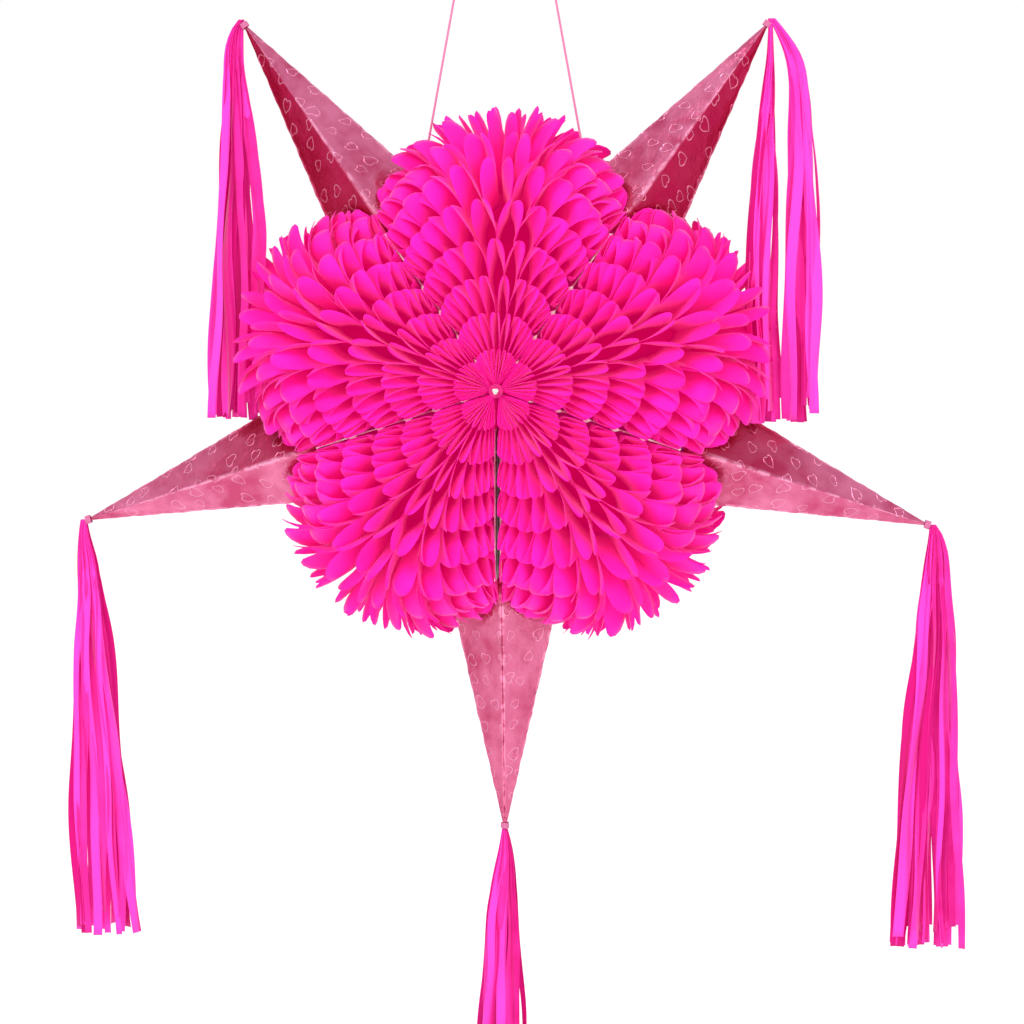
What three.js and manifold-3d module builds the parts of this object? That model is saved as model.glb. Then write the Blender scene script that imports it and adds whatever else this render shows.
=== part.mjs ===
// Five-point hanging star pinata that opens like a fan: paper honeycomb lobes between card boards,
// hollow foil cones on the seams, tissue tassels on the cone tips, and a hanging string.
// Units are millimetres, +Z is up, the front faces -Y, and the origin is the top of the hanging loop.

import * as THREE from 'three';
import Module from 'manifold-3d';
import { mergeGeometries, mergeVertices } from 'three/addons/utils/BufferGeometryUtils.js';

const wasm = await Module();
wasm.setup();

// ---------------------------------------------------------------- driving dimensions

const GAP = 0.35;                       // clearance between pieces that touch
const CENTRE_DROP = 394;                // star centre below the knot at the top of the hanging loop
const TIP_RADIUS = 326;                 // star centre to cone tip
const SECTOR = 72;                      // degrees between neighbouring seams

const LOBE_RADIUS = 183;                // lobe outline at the middle of a lobe
const LOBE_HALF_DEPTH = 82;
const LOBE_EDGE_RADIUS = 66;            // rounding from the flat front to the rim
const LOBE_DOME = 6;                    // how far the front rises from the rounding to the centre
const LOBE_PINCH = 0.15;                // share of the radius lost where a lobe meets its seam
const LOBE_SIDE_DROP = 0.1;             // share of the depth lost there
const LOBE_STEPS = 60;                  // lathe steps round the whole star

const BOARD_THICKNESS = 1;
const BOARD_INNER = 9;
const CLOSING_INNER = 28;                // keeps the two offset boards clear of the next ones when folded
const BOARD_OUTER = 136;
const BOARD_HALF_DEPTH = 63;
const STRIP_THICKNESS = 0.4;
const STRIP_HALF_WIDTH = 7;

const CONE_BASE_RADIUS = 138;           // where a cone starts, measured from the star centre
const CONE_SLOPE = 0.226;               // half width gained per unit of distance from the tip
const CONE_DEPTH = 0.8;                 // half depth over half width
const CONE_WALL = 1.2;
const CONE_SPLIT = 0.5;                 // half the slot between the two halves of the closing cone

const FLAP_RADIUS = 196;                // fill hole's centre, measured from the star centre
const FLAP_SIZE = [24, 38, 0.8];        // across the face, along the cone, thickness
const FILL_HOLE = [18, 31];
const FLAP_EDGE = 3.2;                  // flap's hinge edge to the cone's back ridge, along the face

const SPINE_RADIUS = 5;
const SPINE_HALF_LENGTH = 80;
const PIN_KNOT_RADIUS = 3.2;

const TIE_OUTER = 4;
const TIE_INNER = 2.4;
const TIE_HALF_LENGTH = 2;
const TIE_SETBACK = 6;                  // tie's centre to the cone tip

const STRING_RADIUS = 0.8;
const ANCHOR_RADIUS_AT = 158;           // string anchor on the cone's inner edge, from the star centre
const ANCHOR_BEAD = 3;
const LOOP_KNOT_RADIUS = 3.2;
const LOOP_RADIUS = 18.2;               // how widely the string bends over whatever it hangs from
const STRING_CHANNEL = 2.2;

const HALF_SECTOR = SECTOR / 2;
const CONES = { top_left: 126, top_right: 54, right: -18, bottom: -90, left: 198 };
const LOBES = { top: 90, upper_right: 18, lower_right: -54, lower_left: 234, upper_left: 162 };

const COLOURS = {
    tissue: [0xff1fa8, 0.85, 0],
    foil: [0xd8568f, 0.3, 0.7],
    card: [0xf2f0ec, 0.8, 0],
    thread: [0xf06ab4, 0.8, 0],
    cotton: [0xf7f4ee, 0.8, 0],
};

// ---------------------------------------------------------------- small helpers

function radians(degrees) {
    return (degrees * Math.PI) / 180;
}

function outward(angle) {
    return new THREE.Vector3(Math.cos(radians(angle)), 0, Math.sin(radians(angle)));
}

function sideways(angle) {
    return new THREE.Vector3(-Math.sin(radians(angle)), 0, Math.cos(radians(angle)));
}

// Local X runs sideways, local Y outwards and local Z to the back, for a piece at this angle.
function seamFrame(angle) {
    return new THREE.Matrix4().makeBasis(sideways(angle), outward(angle), new THREE.Vector3(0, 1, 0));
}

function piece(name, geometry, colour) {
    const [color, roughness, metalness] = COLOURS[colour];
    const mesh = new THREE.Mesh(geometry, new THREE.MeshStandardMaterial({ color, roughness, metalness }));
    mesh.name = name;
    return mesh;
}

function cleanTriangles(geometry) {
    const bare = geometry.clone();
    bare.deleteAttribute('normal');
    bare.deleteAttribute('uv');
    const merged = mergeVertices(bare, 1e-4);
    const kept = [];
    const index = merged.index.array;
    for (let i = 0; i < index.length; i += 3) {
        const [a, b, c] = [index[i], index[i + 1], index[i + 2]];
        if (a !== b && b !== c && a !== c) {
            kept.push(a, b, c);
        }
    }
    merged.setIndex(kept);
    return merged;
}

function signedVolume(geometry) {
    const position = geometry.attributes.position;
    const index = geometry.index.array;
    const [a, b, c] = [new THREE.Vector3(), new THREE.Vector3(), new THREE.Vector3()];
    let total = 0;
    for (let i = 0; i < index.length; i += 3) {
        a.fromBufferAttribute(position, index[i]);
        b.fromBufferAttribute(position, index[i + 1]);
        c.fromBufferAttribute(position, index[i + 2]);
        total += a.dot(b.cross(c)) / 6;
    }
    return total;
}

// Merged, closed and facing out, whichever way the source geometry was wound.
function closed(geometry) {
    const merged = cleanTriangles(geometry);
    if (signedVolume(merged) < 0) {
        merged.setIndex(Array.from(merged.index.array).reverse());
    }
    return merged;
}

function solid(geometry) {
    const merged = closed(geometry);
    return new wasm.Manifold(new wasm.Mesh({
        numProp: 3,
        vertProperties: new Float32Array(merged.attributes.position.array),
        triVerts: new Uint32Array(merged.index.array),
    }));
}

function geometryOf(manifold) {
    const mesh = manifold.getMesh();
    const geometry = new THREE.BufferGeometry();
    geometry.setAttribute('position', new THREE.BufferAttribute(new Float32Array(mesh.vertProperties), 3));
    geometry.setIndex(Array.from(mesh.triVerts));
    return geometry;
}

// ---------------------------------------------------------------- cones

function coneSolid(angle, inset, baseDrop) {
    const tip = TIP_RADIUS - inset / CONE_SLOPE;
    const base = CONE_BASE_RADIUS - baseDrop;
    const height = tip - base;
    const cone = new THREE.ConeGeometry(height * CONE_SLOPE, height, 4, 1);
    cone.scale(1, 1, CONE_DEPTH);
    cone.translate(0, base + height / 2, 0);
    cone.applyMatrix4(seamFrame(angle));
    return solid(cone);
}

function coneShell(angle) {
    return coneSolid(angle, 0, 0).subtract(coneSolid(angle, CONE_WALL, 1));
}

// The upper back face of the cone with the fill hole, as a frame on the flap's hinge line.
function flapFrame() {
    const angle = CONES.top_left;
    const length = TIP_RADIUS - CONE_BASE_RADIUS;
    const tip = outward(angle).multiplyScalar(TIP_RADIUS);
    const foot = outward(angle).multiplyScalar(CONE_BASE_RADIUS);
    const ridgeFoot = foot.clone().add(new THREE.Vector3(0, length * CONE_SLOPE * CONE_DEPTH, 0));
    const edgeFoot = foot.clone().addScaledVector(sideways(angle), -length * CONE_SLOPE);
    const across = edgeFoot.clone().sub(ridgeFoot).normalize();
    const normal = tip.clone().sub(ridgeFoot).cross(across).normalize();
    if (normal.y < 0) {
        normal.negate();
    }
    const along = normal.clone().cross(across);
    const share = (TIP_RADIUS - FLAP_RADIUS) / length;
    const hinge = tip.clone().lerp(ridgeFoot, share).addScaledVector(across, FLAP_EDGE);
    return { across, along, normal, hinge };
}

function flapBlock(size, lift) {
    const { across, along, normal, hinge } = flapFrame();
    const block = new THREE.BoxGeometry(...size);
    const centre = hinge.clone().addScaledVector(across, FLAP_SIZE[0] / 2).addScaledVector(normal, lift);
    block.applyMatrix4(new THREE.Matrix4().makeBasis(across, along, normal).setPosition(centre));
    return block;
}

function fillCone() {
    const hole = solid(flapBlock([FILL_HOLE[0], FILL_HOLE[1], 12], 0));
    return geometryOf(coneShell(CONES.top_left).subtract(hole));
}

function fillFlap() {
    return closed(flapBlock(FLAP_SIZE, GAP + FLAP_SIZE[2] / 2));
}

function halfCone(side) {
    const block = new THREE.BoxGeometry(TIP_RADIUS, TIP_RADIUS, TIP_RADIUS * 2);
    block.translate(side * (TIP_RADIUS / 2 + CONE_SPLIT), 0, 0);
    return geometryOf(coneShell(CONES.bottom).intersect(solid(block)));
}

// ---------------------------------------------------------------- lobes

function lobeProfile() {
    const flatTo = LOBE_RADIUS - LOBE_EDGE_RADIUS;
    const rimHalf = LOBE_HALF_DEPTH - LOBE_DOME - LOBE_EDGE_RADIUS;
    const front = [new THREE.Vector2(0, -LOBE_HALF_DEPTH)];
    front.push(new THREE.Vector2(flatTo / 2, -LOBE_HALF_DEPTH + LOBE_DOME * 0.3));
    for (let step = 0; step <= 5; step += 1) {
        const turn = (step / 5) * (Math.PI / 2);
        const radius = flatTo + LOBE_EDGE_RADIUS * Math.sin(turn);
        front.push(new THREE.Vector2(radius, -rimHalf - LOBE_EDGE_RADIUS * Math.cos(turn)));
    }
    const back = front.map((point) => new THREE.Vector2(point.x, -point.y)).reverse();
    return [...front, ...back];
}

// The whole star's tissue as one lathe about the front-to-back axis, drawn in at every seam.
function tissueSolid() {
    const lathe = new THREE.LatheGeometry(lobeProfile(), LOBE_STEPS);
    const position = lathe.attributes.position;
    const point = new THREE.Vector3();
    for (let i = 0; i < position.count; i += 1) {
        point.fromBufferAttribute(position, i);
        const angle = THREE.MathUtils.radToDeg(Math.atan2(point.z, point.x));
        const fromMiddle = THREE.MathUtils.euclideanModulo(angle - LOBES.top + HALF_SECTOR, SECTOR) - HALF_SECTOR;
        const share = Math.abs(fromMiddle) / HALF_SECTOR;
        const radial = 1 - LOBE_PINCH * share ** 2.2;
        const deep = 1 - LOBE_SIDE_DROP * share ** 3;
        position.setXYZ(i, point.x * radial, point.y * deep, point.z * radial);
    }
    return solid(lathe);
}

// A wedge between two seams; each side keeps its own distance from its seam plane.
function sectorSolid(angle, lowSide, highSide) {
    const reach = LOBE_RADIUS * 1.6;
    const low = angle - HALF_SECTOR;
    const high = angle + HALF_SECTOR;
    const start = lowSide / Math.sin(radians(HALF_SECTOR));
    const end = highSide / Math.sin(radians(HALF_SECTOR));
    const apex = outward(angle).multiplyScalar(Math.max(start, end));
    const a = outward(low).multiplyScalar(reach).addScaledVector(sideways(low), lowSide);
    const b = outward(high).multiplyScalar(reach).addScaledVector(sideways(high), -highSide);
    const shape = new THREE.Shape();
    shape.moveTo(apex.x, apex.z);
    shape.lineTo(a.x, a.z);
    shape.lineTo(b.x, b.z);
    const wedge = new THREE.ExtrudeGeometry(shape, { depth: LOBE_HALF_DEPTH * 2.4, bevelEnabled: false });
    wedge.translate(0, 0, -LOBE_HALF_DEPTH * 1.2);
    wedge.rotateX(Math.PI / 2);
    return solid(wedge);
}

function seamClearance(seamAngle) {
    const doubled = CONE_SPLIT + STRIP_THICKNESS + BOARD_THICKNESS + 3 * GAP;
    const single = BOARD_THICKNESS / 2 + GAP;
    return Math.round(seamAngle - CONES.bottom) % 360 === 0 ? doubled : single;
}

function lobeCutters() {
    const core = new THREE.CylinderGeometry(SPINE_RADIUS + GAP, SPINE_RADIUS + GAP, 200, 16);
    const cutters = [solid(core)];
    for (const angle of Object.values(CONES)) {
        cutters.push(coneSolid(angle, -GAP * 1.3, GAP));
    }
    for (const side of [-1, 1]) {
        const bead = new THREE.SphereGeometry(ANCHOR_BEAD + GAP * 1.5, 10, 8);
        bead.translate(...beadCentre(side).toArray());
        cutters.push(solid(bead));
        cutters.push(solid(stringTube(side, STRING_CHANNEL, 4, 0)));
    }
    return cutters;
}

function lobeGeometry(angle, tissue, cutters) {
    const low = seamClearance(angle - HALF_SECTOR);
    const high = seamClearance(angle + HALF_SECTOR);
    let lobe = tissue.intersect(sectorSolid(angle, low, high));
    for (const cutter of cutters) {
        lobe = lobe.subtract(cutter);
    }
    const largest = lobe.decompose().reduce((a, b) => (a.volume() > b.volume() ? a : b));
    return geometryOf(largest);
}

// ---------------------------------------------------------------- boards, spine and closure

function radialPlate(angle, low, high, inner, outer, halfDepth) {
    const plate = new THREE.BoxGeometry(high - low, outer - inner, 2 * halfDepth);
    plate.translate((low + high) / 2, (inner + outer) / 2, 0);
    plate.applyMatrix4(seamFrame(angle));
    return closed(plate);
}

function board(angle) {
    const half = BOARD_THICKNESS / 2;
    return radialPlate(angle, -half, half, BOARD_INNER, BOARD_OUTER, BOARD_HALF_DEPTH);
}

// Side +1 lies on the sideways axis of the bottom seam, which points to the right.
function closingBoard(side) {
    const near = CONE_SPLIT + STRIP_THICKNESS + 2 * GAP;
    const far = near + BOARD_THICKNESS;
    const [low, high] = side > 0 ? [near, far] : [-far, -near];
    return radialPlate(CONES.bottom, low, high, CLOSING_INNER, BOARD_OUTER, BOARD_HALF_DEPTH);
}

function closingStrip(side) {
    const near = CONE_SPLIT;
    const far = near + STRIP_THICKNESS;
    const [low, high] = side > 0 ? [near, far] : [-far, -near];
    const strip = new THREE.BoxGeometry(high - low, BOARD_OUTER - CLOSING_INNER - 10, 2 * STRIP_HALF_WIDTH);
    strip.translate((low + high) / 2, (BOARD_OUTER + CLOSING_INNER) / 2, -BOARD_HALF_DEPTH * 0.75);
    strip.applyMatrix4(seamFrame(CONES.bottom));
    return closed(strip);
}

function spineTube() {
    return closed(new THREE.CylinderGeometry(SPINE_RADIUS, SPINE_RADIUS, 2 * SPINE_HALF_LENGTH, 14));
}

function pinKnot(side) {
    const knot = new THREE.SphereGeometry(PIN_KNOT_RADIUS, 10, 8);
    knot.translate(0, side * (SPINE_HALF_LENGTH + GAP + PIN_KNOT_RADIUS), 0);
    return closed(knot);
}

// ---------------------------------------------------------------- ties and tassels

function tie(angle) {
    const half = TIE_HALF_LENGTH;
    const profile = [
        new THREE.Vector2(TIE_INNER, -half),
        new THREE.Vector2(TIE_OUTER, -half * 0.5),
        new THREE.Vector2(TIE_OUTER, half * 0.5),
        new THREE.Vector2(TIE_INNER, half),
        new THREE.Vector2(TIE_INNER, -half),
    ];
    const ring = new THREE.LatheGeometry(profile, 12);
    ring.translate(0, TIP_RADIUS - TIE_SETBACK, 0);
    ring.applyMatrix4(seamFrame(angle));
    return closed(ring);
}

// Each row is [distance below the tip, sideways shift, half width, half depth].
function tassel(angle, rows) {
    const sides = 12;
    const drum = new THREE.CylinderGeometry(1, 1, rows.length - 1, sides, rows.length - 1);
    const position = drum.attributes.position;
    const tip = outward(angle).multiplyScalar(TIP_RADIUS);
    for (let i = 0; i < position.count; i += 1) {
        const row = Math.round((rows.length - 1) / 2 - position.getY(i));
        const [below, shift, halfWidth, halfDepth] = rows[row];
        const x = tip.x + shift + halfWidth * position.getX(i);
        const y = halfDepth * position.getZ(i);
        position.setXYZ(i, x, y, tip.z - below);
    }
    return closed(drum);
}

function hangingRows(topGap, length, lean, spread) {
    return [
        [topGap, 0, 2.2, 2.2],
        [topGap + 10, lean * 0.05, spread * 0.22, 6],
        [topGap + 32, lean * 0.15, spread * 0.34, 9],
        [length * 0.4, lean * 0.5, spread * 0.62, 13],
        [length * 0.75, lean * 0.85, spread * 0.88, 16],
        [length, lean, spread, 18],
    ];
}

const TASSELS = {
    top_left: hangingRows(9, 291, -13, 14),
    top_right: hangingRows(9, 291, 21, 20),
    right: hangingRows(9, 306, -4, 31),
    bottom: hangingRows(5, 310, -5, 22),
    left: hangingRows(9, 303, 15, 24),
};

// ---------------------------------------------------------------- hanging string

function beadCentre(side) {
    const seam = side < 0 ? CONES.top_left : CONES.top_right;
    const clear = (TIP_RADIUS - ANCHOR_RADIUS_AT) * CONE_SLOPE + ANCHOR_BEAD * 1.05 + GAP;
    const centre = outward(seam).multiplyScalar(ANCHOR_RADIUS_AT);
    return centre.addScaledVector(sideways(seam), side * clear);
}

// One strand: straight from its bead, then round the top of the loop as far as the knot.
function strandPoints(side, trim) {
    const start = beadCentre(side);
    const middle = new THREE.Vector3(0, 0, CENTRE_DROP - LOOP_RADIUS);
    const arm = start.clone().sub(middle);
    const tangent = Math.atan2(arm.z, arm.x) + side * Math.acos(LOOP_RADIUS / arm.length());
    const knotTurn = (LOOP_KNOT_RADIUS + GAP) / LOOP_RADIUS;
    const end = side > 0 ? Math.PI / 2 - knotTurn : -1.5 * Math.PI + knotTurn;
    const round = (turn) => new THREE.Vector3(Math.cos(turn), 0, Math.sin(turn)).multiplyScalar(LOOP_RADIUS).add(middle);
    const leave = round(tangent);
    const from = start.clone().addScaledVector(leave.clone().sub(start).normalize(), trim ? ANCHOR_BEAD + trim : 0);
    const points = [];
    for (let i = 0; i < 8; i += 1) {
        points.push(from.clone().lerp(leave, i / 8));
    }
    for (let i = 0; i <= 8; i += 1) {
        points.push(round(tangent + (end - tangent) * i / 8));
    }
    return points;
}

function stringTube(side, radius, sides, trim) {
    const section = new THREE.Shape();
    section.absarc(0, 0, radius, 0, 2 * Math.PI, false);
    const path = new THREE.CatmullRomCurve3(strandPoints(side, trim), false, 'centripetal');
    return new THREE.ExtrudeGeometry(section, { steps: 32, curveSegments: sides / 2, extrudePath: path });
}

function anchorBead(side) {
    const bead = new THREE.SphereGeometry(ANCHOR_BEAD, 10, 8);
    bead.translate(...beadCentre(side).toArray());
    return closed(bead);
}

function loopKnot() {
    const knot = new THREE.SphereGeometry(LOOP_KNOT_RADIUS, 10, 8);
    knot.translate(0, 0, CENTRE_DROP);
    return closed(knot);
}

// ---------------------------------------------------------------- assembly

function buildStar() {
    const star = new THREE.Group();
    const tissue = tissueSolid();
    const cutters = lobeCutters();
    for (const [name, angle] of Object.entries(LOBES)) {
        star.add(piece(`honeycomb_lobe_${name}`, lobeGeometry(angle, tissue, cutters), 'tissue'));
    }
    for (const name of ['top_right', 'right', 'left']) {
        star.add(piece(`foil_cone_${name}`, geometryOf(coneShell(CONES[name])), 'foil'));
    }
    star.add(piece('foil_cone_top_left', fillCone(), 'foil'));
    star.add(piece('foil_half_cone_bottom_left', halfCone(-1), 'foil'));
    star.add(piece('foil_half_cone_bottom_right', halfCone(1), 'foil'));
    star.add(piece('fill_flap', fillFlap(), 'foil'));
    for (const name of ['top_left', 'top_right', 'right', 'left']) {
        star.add(piece(`seam_board_${name}`, board(CONES[name]), 'card'));
    }
    star.add(piece('closing_board_left', closingBoard(-1), 'card'));
    star.add(piece('closing_board_right', closingBoard(1), 'card'));
    star.add(piece('closing_strip_left', closingStrip(-1), 'cotton'));
    star.add(piece('closing_strip_right', closingStrip(1), 'cotton'));
    star.add(piece('spine_tube', spineTube(), 'card'));
    star.add(piece('spine_knot_front', pinKnot(-1), 'cotton'));
    star.add(piece('spine_knot_back', pinKnot(1), 'cotton'));
    for (const [name, angle] of Object.entries(CONES)) {
        star.add(piece(`tassel_tie_${name}`, tie(angle), 'thread'));
        star.add(piece(`tassel_${name}`, tassel(angle, TASSELS[name]), 'tissue'));
    }
    star.add(piece('string_anchor_left', anchorBead(-1), 'thread'));
    star.add(piece('string_anchor_right', anchorBead(1), 'thread'));
    star.add(piece('hanging_string_left', closed(stringTube(-1, STRING_RADIUS, 8, GAP)), 'thread'));
    star.add(piece('hanging_string_right', closed(stringTube(1, STRING_RADIUS, 8, GAP)), 'thread'));
    star.add(piece('hanging_knot', loopKnot(), 'thread'));
    star.position.z = -CENTRE_DROP;
    return star;
}

const pinata = new THREE.Group();
pinata.add(buildStar());

export default pinata;
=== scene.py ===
"""Fold-open star pinata: tissue honeycomb lobes, foil cones, tassels and a hanging string."""

import logging
import math
from collections.abc import Callable
from dataclasses import dataclass
from enum import Enum

import bmesh
import bpy
import numpy as np
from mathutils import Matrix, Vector

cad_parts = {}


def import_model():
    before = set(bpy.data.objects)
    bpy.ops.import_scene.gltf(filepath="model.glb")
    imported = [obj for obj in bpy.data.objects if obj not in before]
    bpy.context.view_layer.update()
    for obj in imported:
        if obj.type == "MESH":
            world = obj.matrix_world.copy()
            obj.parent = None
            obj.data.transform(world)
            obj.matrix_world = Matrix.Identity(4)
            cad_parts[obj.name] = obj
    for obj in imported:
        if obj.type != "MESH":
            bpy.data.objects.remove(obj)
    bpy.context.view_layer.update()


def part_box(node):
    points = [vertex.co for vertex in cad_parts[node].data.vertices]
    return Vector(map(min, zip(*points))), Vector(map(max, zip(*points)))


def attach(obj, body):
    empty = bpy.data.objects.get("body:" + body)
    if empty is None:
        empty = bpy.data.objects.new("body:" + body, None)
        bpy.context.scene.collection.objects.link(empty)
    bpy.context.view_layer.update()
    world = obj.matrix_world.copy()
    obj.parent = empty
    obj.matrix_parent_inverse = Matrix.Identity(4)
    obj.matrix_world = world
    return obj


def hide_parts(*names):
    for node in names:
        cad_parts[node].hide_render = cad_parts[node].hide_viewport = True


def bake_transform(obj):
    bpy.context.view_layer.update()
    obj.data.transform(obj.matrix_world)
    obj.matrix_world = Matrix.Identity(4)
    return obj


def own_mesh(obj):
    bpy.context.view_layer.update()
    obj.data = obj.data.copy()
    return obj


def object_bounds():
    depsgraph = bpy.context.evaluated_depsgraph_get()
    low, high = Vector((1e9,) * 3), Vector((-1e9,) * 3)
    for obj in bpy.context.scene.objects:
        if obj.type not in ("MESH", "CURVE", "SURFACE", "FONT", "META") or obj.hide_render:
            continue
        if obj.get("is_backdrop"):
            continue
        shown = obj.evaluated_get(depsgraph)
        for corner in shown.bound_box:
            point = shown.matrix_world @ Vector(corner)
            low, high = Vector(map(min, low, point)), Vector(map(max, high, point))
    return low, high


Piece = bpy.types.Object
Mesh = bpy.types.Mesh
Material = bpy.types.Material
Socket = bpy.types.NodeSocket

LOG = logging.getLogger("pinata")
SEED = 20
MM = 0.001


class Seam(Enum):
    """The five seams between lobes, by the angle of the cone that stands on each, in degrees."""

    TOP_LEFT = 126.0
    TOP_RIGHT = 54.0
    RIGHT = -18.0
    BOTTOM = -90.0
    LEFT = 198.0

    @property
    def angle(self) -> float:
        """The same angle in radians."""
        return math.radians(self.value)

    @property
    def word(self) -> str:
        """The seam's name as the nodes spell it."""
        return self.name.lower()


SEAM_BODY = {
    Seam.TOP_LEFT: "top_left_segment",
    Seam.TOP_RIGHT: "top_right_segment",
    Seam.RIGHT: "right_segment",
    Seam.LEFT: "left_segment",
}
SEAM_JOINT = {
    Seam.TOP_LEFT: "fan_fold_top_left",
    Seam.TOP_RIGHT: "fan_fold",
    Seam.RIGHT: "fan_fold_right",
    Seam.LEFT: "fan_fold_left",
}
# The face of each cone that gets painted shade and reflection, a darker crimson,
# and how soon that colour fades towards the tip.
DEEP_FACE = {
    Seam.TOP_LEFT: (0, 0.0),
    Seam.TOP_RIGHT: (3, 0.0),
    Seam.RIGHT: (0, 1.3),
    Seam.LEFT: (3, 1.3),
}
HALF_SECTOR = math.radians(36.0)
AXIS_RADIUS = 1.5 * MM

Formula = Callable[[np.ndarray, np.ndarray, np.ndarray], np.ndarray]


def outward(angle: float) -> Vector:
    """Unit vector from the star's centre at this angle, in radians, in the plane of the star."""
    return Vector((math.cos(angle), 0.0, math.sin(angle)))


def sideways(angle: float) -> Vector:
    """Unit vector at right angles to outward(angle), anticlockwise as seen from the front."""
    return Vector((-math.sin(angle), 0.0, math.cos(angle)))


def smooth(value: np.ndarray | float) -> np.ndarray | float:
    """Smooth step of a value from 0 to 1, clamped outside."""
    share = np.clip(value, 0.0, 1.0)
    return share * share * (3.0 - 2.0 * share)


@dataclass
class StarFrame:
    """The star's driving sizes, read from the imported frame.

    Args:
        centre: the point on the spine's axis that the segments turn about.
        tip_radius: from the centre to a cone's tip.
        cone_base: from the centre to a cone's open base.
        cone_slope: a cone's half width gained per metre from its tip.
        cone_depth: a cone's half depth over its half width.
        lobe_radius: the outline of a lobe at its middle.
        lobe_half_depth: from the middle plane to the front of a lobe.
    """

    centre: Vector
    tip_radius: float
    cone_base: float
    cone_slope: float
    cone_depth: float
    lobe_radius: float
    lobe_half_depth: float

    @classmethod
    def read(cls) -> "StarFrame":
        """Measures the star on its CAD nodes.

        Returns:
            The star's driving sizes, in metres.
        """
        spine_low, spine_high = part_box("spine_tube")
        centre = (spine_low + spine_high) / 2
        cone_low, cone_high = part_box("foil_half_cone_bottom_right")
        tip_radius = centre.z - cone_low.z
        cone_base = centre.z - cone_high.z
        half_width = cone_high.x - centre.x
        half_depth = (cone_high.y - cone_low.y) / 2
        _, lobe_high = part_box("honeycomb_lobe_top")
        return cls(
            centre=centre,
            tip_radius=tip_radius,
            cone_base=cone_base,
            cone_slope=half_width / (tip_radius - cone_base),
            cone_depth=half_depth / half_width,
            lobe_radius=lobe_high.z - centre.z,
            lobe_half_depth=(spine_high.y - spine_low.y) / 2,
        )


# ---------------------------------------------------------------- mesh helpers


def mesh_object(name: str, mesh: Mesh, material: Material) -> Piece:
    """Links a mesh as an object at the origin.

    Args:
        name: the piece's name.
        mesh: its finished mesh, in the frame's own coordinates.
        material: its finish.

    Returns:
        The new object.
    """
    piece = bpy.data.objects.new(name, mesh)
    bpy.context.scene.collection.objects.link(piece)
    mesh.materials.clear()
    mesh.materials.append(material)
    for polygon in mesh.polygons:
        polygon.use_smooth = True
    return piece


def read_uv(mesh: Mesh) -> np.ndarray:
    """The mesh's map, one row for each face corner.

    Args:
        mesh: a mesh with a map.

    Returns:
        The map's values, two columns.
    """
    layer = mesh.uv_layers["UVMap"]
    values = np.zeros(len(layer.data) * 2, np.float32)
    layer.data.foreach_get("uv", values)
    return values.reshape(-1, 2)


def corner_vertices(mesh: Mesh) -> np.ndarray:
    """The vertex of each face corner.

    Args:
        mesh: any mesh.

    Returns:
        The vertices' numbers.
    """
    corners = np.zeros(len(mesh.loops), np.int32)
    mesh.loops.foreach_get("vertex_index", corners)
    return corners


def read_points(mesh: Mesh) -> np.ndarray:
    """The mesh's vertices.

    Args:
        mesh: any mesh.

    Returns:
        Their positions, three columns.
    """
    points = np.zeros(len(mesh.vertices) * 3, np.float32)
    mesh.vertices.foreach_get("co", points)
    return points.reshape(-1, 3)


def mark_points(mesh: Mesh, name: str, values: np.ndarray) -> None:
    """Stores a number on every vertex, for the finishes to read.

    Args:
        mesh: the mesh to mark.
        name: the attribute's name.
        values: one number for each vertex.
    """
    mesh.attributes.new(name, "FLOAT", "POINT").data.foreach_set("value", values.astype(np.float32))


def shaped_grids(name: str, columns: int, rows: int, copies: int, formula: Formula) -> Mesh:
    """Makes flat grids and moves every vertex to the place a formula gives it.

    Args:
        name: the mesh's name.
        columns: quads along the grid.
        rows: quads across the grid.
        copies: how many grids go into the mesh.
        formula: takes the share along, the share across and the copy's number of every vertex,
            and returns their positions as an array of three columns.

    Returns:
        The mesh, with a UV map of the two shares and a random number for each copy.
    """
    work = bmesh.new()
    for copy in range(copies):
        made = bmesh.ops.create_grid(work, x_segments=columns, y_segments=rows, size=0.5)
        bmesh.ops.translate(work, verts=made["verts"], vec=(0.5, 0.5, copy))
    mesh = bpy.data.meshes.new(name)
    work.to_mesh(mesh)
    work.free()
    flat = read_points(mesh).astype(float)
    uv_map = mesh.uv_layers.new(name="UVMap")
    uv_map.data.foreach_set("uv", flat[corner_vertices(mesh)][:, :2].astype(np.float32).ravel())
    copy = np.round(flat[:, 2])
    chance = np.modf(np.abs(np.sin((copy + 1.0) * 12.9898) * 4375.8545))[0]
    mark_points(mesh, "Chance", chance)
    placed = formula(flat[:, 0], flat[:, 1], copy.astype(int))
    mesh.vertices.foreach_set("co", placed.astype(np.float32).ravel())
    mesh.update()
    return mesh


def welded(mesh: Mesh, distance: float, cap: bool = False) -> Mesh:
    """Merges a mesh's doubles and turns its faces outwards.

    Args:
        mesh: the mesh to change.
        distance: how close vertices have to be to merge.
        cap: whether open ends are closed.

    Returns:
        The same mesh.
    """
    work = bmesh.new()
    work.from_mesh(mesh)
    bmesh.ops.remove_doubles(work, verts=work.verts, dist=distance)
    if cap:
        bmesh.ops.holes_fill(work, edges=work.edges, sides=64)
    bmesh.ops.recalc_face_normals(work, faces=work.faces)
    work.to_mesh(mesh)
    work.free()
    mesh.update()
    return mesh


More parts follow.
